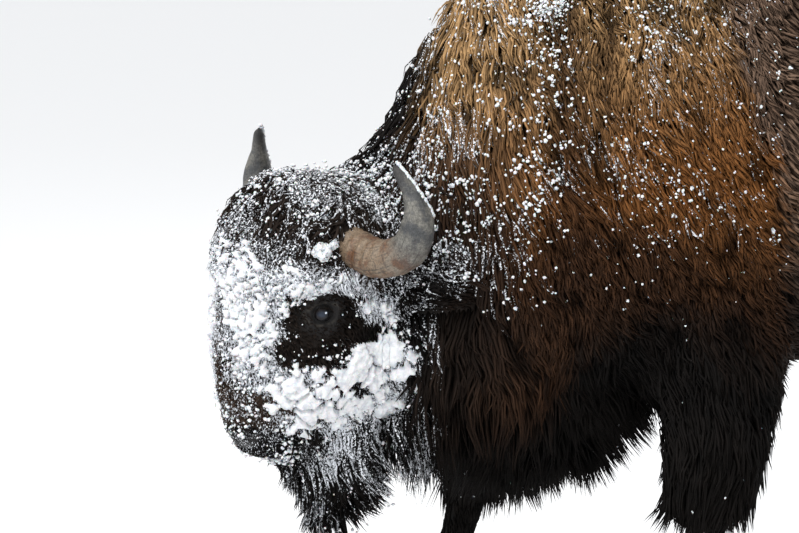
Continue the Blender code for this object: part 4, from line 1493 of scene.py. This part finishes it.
crust_mesh = skin_mesh.copy()
crust_points = read_points(crust_mesh)
chosen = on_head(crust_points) & (to_head(crust_points)[:, 2] > -0.30)
keep_faces(crust_mesh, chosen & (crust_share(crust_points)[0] > 0))
for _ in range(3):
    with editing(crust_mesh) as bm:
        edges = [e for e in bm.edges if e.calc_length() > CRUST_EDGE]
        bmesh.ops.subdivide_edges(bm, edges=edges, cuts=1, use_grid_fill=True)
        bmesh.ops.triangulate(bm, faces=[f for f in bm.faces if len(f.verts) > 4])
crust_points = read_points(crust_mesh)
crust_normals = read_points(crust_mesh, "normal")
share, cheek = crust_share(crust_points)
layers = [plate_field(crust_points, count, seed) for count, seed in PLATES]
(crack, own, tilt), (small_crack, small_own, _), (tiny_crack, tiny_own, _) = layers
plate = ramp(crack, 0.0018, 0.0070) * (0.40 + 0.35 * own)
plate += ramp(crack, 0.003, 0.016) * (0.10 + 0.35 * own)
small = ramp(small_crack, 0.0003, 0.0045) * (0.30 + 0.70 * small_own)
tiny = ramp(tiny_crack, 0.0, 0.0035) * (0.4 + 0.6 * tiny_own)
slab = plate * 0.012 + np.clip(tilt * 0.09, -0.004, 0.004) * plate + small * 0.0065 * plate
loose = small * 0.0065 + tiny * 0.0030
height = (slab * cheek + loose * (1 - cheek) + tiny * 0.0010) * share + share * 0.0015
body = np.where(cheek > 0.5, plate, small * 0.8 + tiny * 0.3)
keep = share * body > 0.12 + 0.03 * cheek
lie = coat_depth(crust_points)
lift = np.where(keep, lie * (0.96 - 0.22 * cheek) + height, lie * 0.30)
crust_points = relaxed(crust_points + crust_normals * lift[:, None], read_edges(crust_mesh), 2)
write_points(crust_mesh, crust_points)
keep_faces(crust_mesh, keep)
crust_mesh.shade_smooth()
crust_mesh.name = "snow_crust"
crust = in_scene("snow_crust", crust_mesh)
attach(crust, "root")


def grain_tree():
    """Geometry Nodes that set a flattened, uneven grain of snow on every point of a mesh."""
    tree = bpy.data.node_groups.new("snow_grain", "GeometryNodeTree")
    kinds = {"Places": "Geometry", "Segments": "Int", "Rings": "Int", "Unevenness": "Float"}
    kinds |= {"Seed": "Int", "Material": "Material"}
    for name, kind in kinds.items():
        tree.interface.new_socket(name, in_out="INPUT", socket_type="NodeSocket" + kind)
    tree.interface.new_socket("Grains", in_out="OUTPUT", socket_type="NodeSocketGeometry")
    given = tree.nodes.new("NodeGroupInput")
    wanted = {name: Socket(tree, given.outputs[name]) for name in kinds}
    start = Socket(tree)
    named = "GeometryNodeInputNamedAttribute"
    size = start.node(named, {"data_type": "FLOAT"}, {"Name": "size"}, "Attribute")
    out = start.node(named, {"data_type": "FLOAT_VECTOR"}, {"Name": "out"}, "Attribute")
    turn = start.node("FunctionNodeAlignRotationToVector", {"axis": "Z"}, {"Vector": out})
    limits = {"Min": (0.75, 0.75, 0.50), "Max": (1.35, 1.35, 0.90), "Seed": wanted["Seed"]}
    scale = start.node("FunctionNodeRandomValue", {"data_type": "FLOAT_VECTOR"}, limits, "Value")
    form = {"Segments": wanted["Segments"], "Rings": wanted["Rings"], "Radius": 1.0}
    ball = start.node("GeometryNodeMeshUVSphere", {}, form, "Mesh")
    copies = {"Points": wanted["Places"], "Instance": ball, "Rotation": turn, "Scale": scale.scaled(size)}
    grains = start.node("GeometryNodeInstanceOnPoints", {}, copies)
    grains = start.node("GeometryNodeRealizeInstances", {}, {0: grains})
    limits = {"Min": (-1.0, -1.0, -1.0), "Max": (1.0, 1.0, 1.0), "Seed": wanted["Seed"]}
    jolt = start.node("FunctionNodeRandomValue", {"data_type": "FLOAT_VECTOR"}, limits, "Value")
    jolt = jolt.scaled(size * wanted["Unevenness"])
    grains = start.node("GeometryNodeSetPosition", {}, {0: grains, "Offset": jolt})
    grains = start.node("GeometryNodeSetShadeSmooth", {}, {0: grains})
    grains = start.node("GeometryNodeSetMaterial", {}, {0: grains, "Material": wanted["Material"]})
    tree.links.new(grains.out, tree.nodes.new("NodeGroupOutput").inputs[0])
    return tree


snow_finish = Finish("snow", {"Subsurface Weight": 0.15, "Subsurface Scale": 0.01})
at_snow = snow_finish.place()
powder = at_snow.noise(420.0, 4.0, 0.6)
clump = at_snow.noise(70.0, 3.0)
white = clump.ramp(0.30, 0.62).mix((0.56, 0.59, 0.63), (0.79, 0.795, 0.81))
snow_finish.link((powder.ramp(0.66, 0.74) * 0.35).mix(white, (0.45, 0.47, 0.50)), "Base Color")
snow_finish.link(powder * 0.4 + 0.35, "Roughness")
snow_finish.bump(powder + clump * 1.5, 0.6, 0.002)
crust_mesh.materials.clear()
crust_mesh.materials.append(snow_finish.material)
snow_grain = grain_tree()
UNEVENNESS = 0.24


def lumps(name, places, normals, sizes, segments, rings, seed):
    """Uneven lumps of snow on the coat, as one piece: Geometry Nodes on a mesh of bare points."""
    points = bpy.data.meshes.new("places")
    points.vertices.add(len(places))
    write_points(points, places)
    point_attribute(points, "size", sizes)
    point_attribute(points, "out", normals)
    holder = in_scene("places", points)
    grow = holder.modifiers.new("grow", "NODES")
    grow.node_group = snow_grain
    values = {"Segments": segments, "Rings": rings, "Unevenness": UNEVENNESS, "Seed": seed}
    values["Material"] = snow_finish.material
    for item in snow_grain.interface.items_tree:
        if item.name in values:
            grow[item.identifier] = values[item.name]
    mesh = evaluated(holder)
    mesh.name = name
    piece = in_scene(name, mesh)
    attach(piece, "root")


def snow_places(name, count, chance):
    """Tips of tufts that hold a grain of snow, with the skin's normals under them."""
    (before, last), out = fur_parts[name]
    share = chance.uniform(0.15, 0.9, len(last))[:, None]
    tips = before * share + last * (1 - share)
    b, h = to_body(tips), to_head(tips)
    cloud = np.exp(wobble(tips, 14, 91) * 0.6 + wobble(tips, 45, 92) * 0.8)
    facing = np.clip(0.55 + out[:, 2] * 0.6, 0.15, 1.2)
    weight = cloud * facing * (0.06 + ramp(b[:, 2], 0.80, 1.15))
    if name in ("neck", "cape_left", "cape_right"):
        weight *= 1 + 1.6 * band(b[:, 2], 0.86, 1.16, 0.06) * ramp(-b[:, 0], 0.28, 0.34)
    if name.startswith("cape"):
        shoulder = 0.35 + 0.9 * ramp(-b[:, 0], 0.18, 0.34) + 0.5 * band(b[:, 0], -0.16, 0.0, 0.05)
        weight *= shoulder * (1 - 0.75 * band(b[:, 0], -0.27, -0.19, 0.02))
    if name in ("face", "crown"):
        weight *= 0.15 + np.minimum(frosted(tips, out, chance), 1)
    if name in ("face", "beard"):
        weight = np.exp(wobble(tips, 40, 93)) * ramp(eye_distance(h), 0.045, 0.075)
    picks = chance.choice(len(tips), count, p=weight / weight.sum())
    spread = chance.normal(size=(count, 3)) * 0.0025
    return tips[picks] + spread, out[picks]


# How many single grains and how many crumbs each part of the coat holds
GRAINS = (
    ("cape_left", 4300, 620), ("cape_right", 2000, 300), ("neck", 3400, 880), ("crown", 2000, 340),
    ("chest", 140, 20), ("face", 1350, 220), ("beard", 110, 20), ("barrel", 300, 30),
)
# The usual size, the largest size and the fullness of a single grain, then of a crumb of two
GRAIN_SIZES = ((0.0017, 0.0036, 1.20), (0.0024, 0.0048, 1.06))
SMALLEST_GRAIN = 0.0009
SNOW_PIECES = (
    ("snow_grains_cape", 0, ("cape_left", "cape_right", "barrel")),
    ("snow_grains_fore", 0, ("neck", "crown", "chest", "face", "beard")),
    ("snow_crumbs", 1, [row[0] for row in GRAINS]),
)
for name, level, regions in SNOW_PIECES:
    gathered = []
    usual, biggest, fullness = GRAIN_SIZES[level]
    for seed, row in enumerate(GRAINS):
        if row[0] not in regions:
            continue
        chance = np.random.default_rng(300 + seed + 50 * level)
        places, out = snow_places(row[0], row[1 + level], chance)
        fleck = np.exp(chance.normal(size=len(places)) * 0.40)
        fleck *= 1 + 0.45 * ramp(-to_body(places)[:, 0], 0.20, 0.34)
        fleck = np.clip(fleck * usual, SMALLEST_GRAIN, biggest)
        fleck = np.tile(fleck * fullness, 1 + level)
        spread = chance.normal(size=(len(fleck), 3)) * (0.9, 0.9, 1.5) * fleck[:, None]
        places, out = np.tile(places, (1 + level, 1)) + spread, np.tile(out, (1 + level, 1))
        sizes = fleck * chance.uniform(0.7, 1.1, len(fleck))
        gathered.append((places + out * sizes[:, None] * 0.5, out, sizes))
    places, out, sizes = (np.concatenate([g[i] for g in gathered]) for i in range(3))
    lumps(name, places, out, sizes, 5, 3, 400 + level)

# A strip of grains along the outer part of each horn
HORN_GRAINS = 700
chance = np.random.default_rng(77)
line = spline(HORN_LINE, 200)
along = chance.uniform(0.66, 1.0, HORN_GRAINS)
spots = line[(along * (len(line) - 1)).astype(int)]
radius = np.interp(along * 6, range(7), HORN_TAPER) * HORN_RADIUS
side = np.where(chance.random(HORN_GRAINS) < 0.5, -1, 1)
out = unit(chance.normal(size=(HORN_GRAINS, 3)) * (0.14, 0.20, 0.16) + (0.75, 0.30, 0.60))
drift = wobble(spots, 60, 95) > -0.25
spots, radius, side, out = spots[drift], radius[drift], side[drift], out[drift]
on_horn = out_of_head(spots + out * radius[:, None], side)
out[:, 1] *= side
out = out @ TURN.T
lumps("snow_horns", on_horn, out, chance.uniform(0.0025, 0.0062, len(out)), 6, 3, 96)

# Larger lumps on the face, each with its place in the head's frame and its size, made of nine balls
FACE_LUMPS = ((-0.020, -0.165, 0.139, 0.017), (0.004, -0.165, 0.150, 0.010), (0.115, 0.17, -0.02, 0.013))
BALLS = 9
nearest, out = on_skin(out_of_head([row[:3] for row in FACE_LUMPS]))
places = nearest + out * (coat_depth(nearest) * 0.95)[:, None]
sizes = np.array([row[3] for row in FACE_LUMPS])
big = np.repeat(np.arange(len(FACE_LUMPS)), BALLS)
jitter = chance.normal(size=(len(big), 3)) * sizes[big][:, None] * 0.42
ball_sizes = sizes[big] * chance.uniform(0.4, 0.8, len(big))
lumps("snow_lumps", places[big] + jitter, out[big], ball_sizes, 16, 10, 97)


# ---------------------------------------------------------------------------------------------
# The pale floor.
# ---------------------------------------------------------------------------------------------
FLOOR_HALF = 60.0

corners = [(x * FLOOR_HALF, y * FLOOR_HALF, 0) for x, y in ((-1, -1), (1, -1), (1, 1), (-1, 1))]
floor = mesh_object("floor", corners, [[(0, 1, 2, 3)]], smooth=False)
floor_finish = Finish("pale_floor", {"Roughness": 0.9, "Base Color": (0.90, 0.905, 0.915, 1)})
floor.data.materials.append(floor_finish.material)
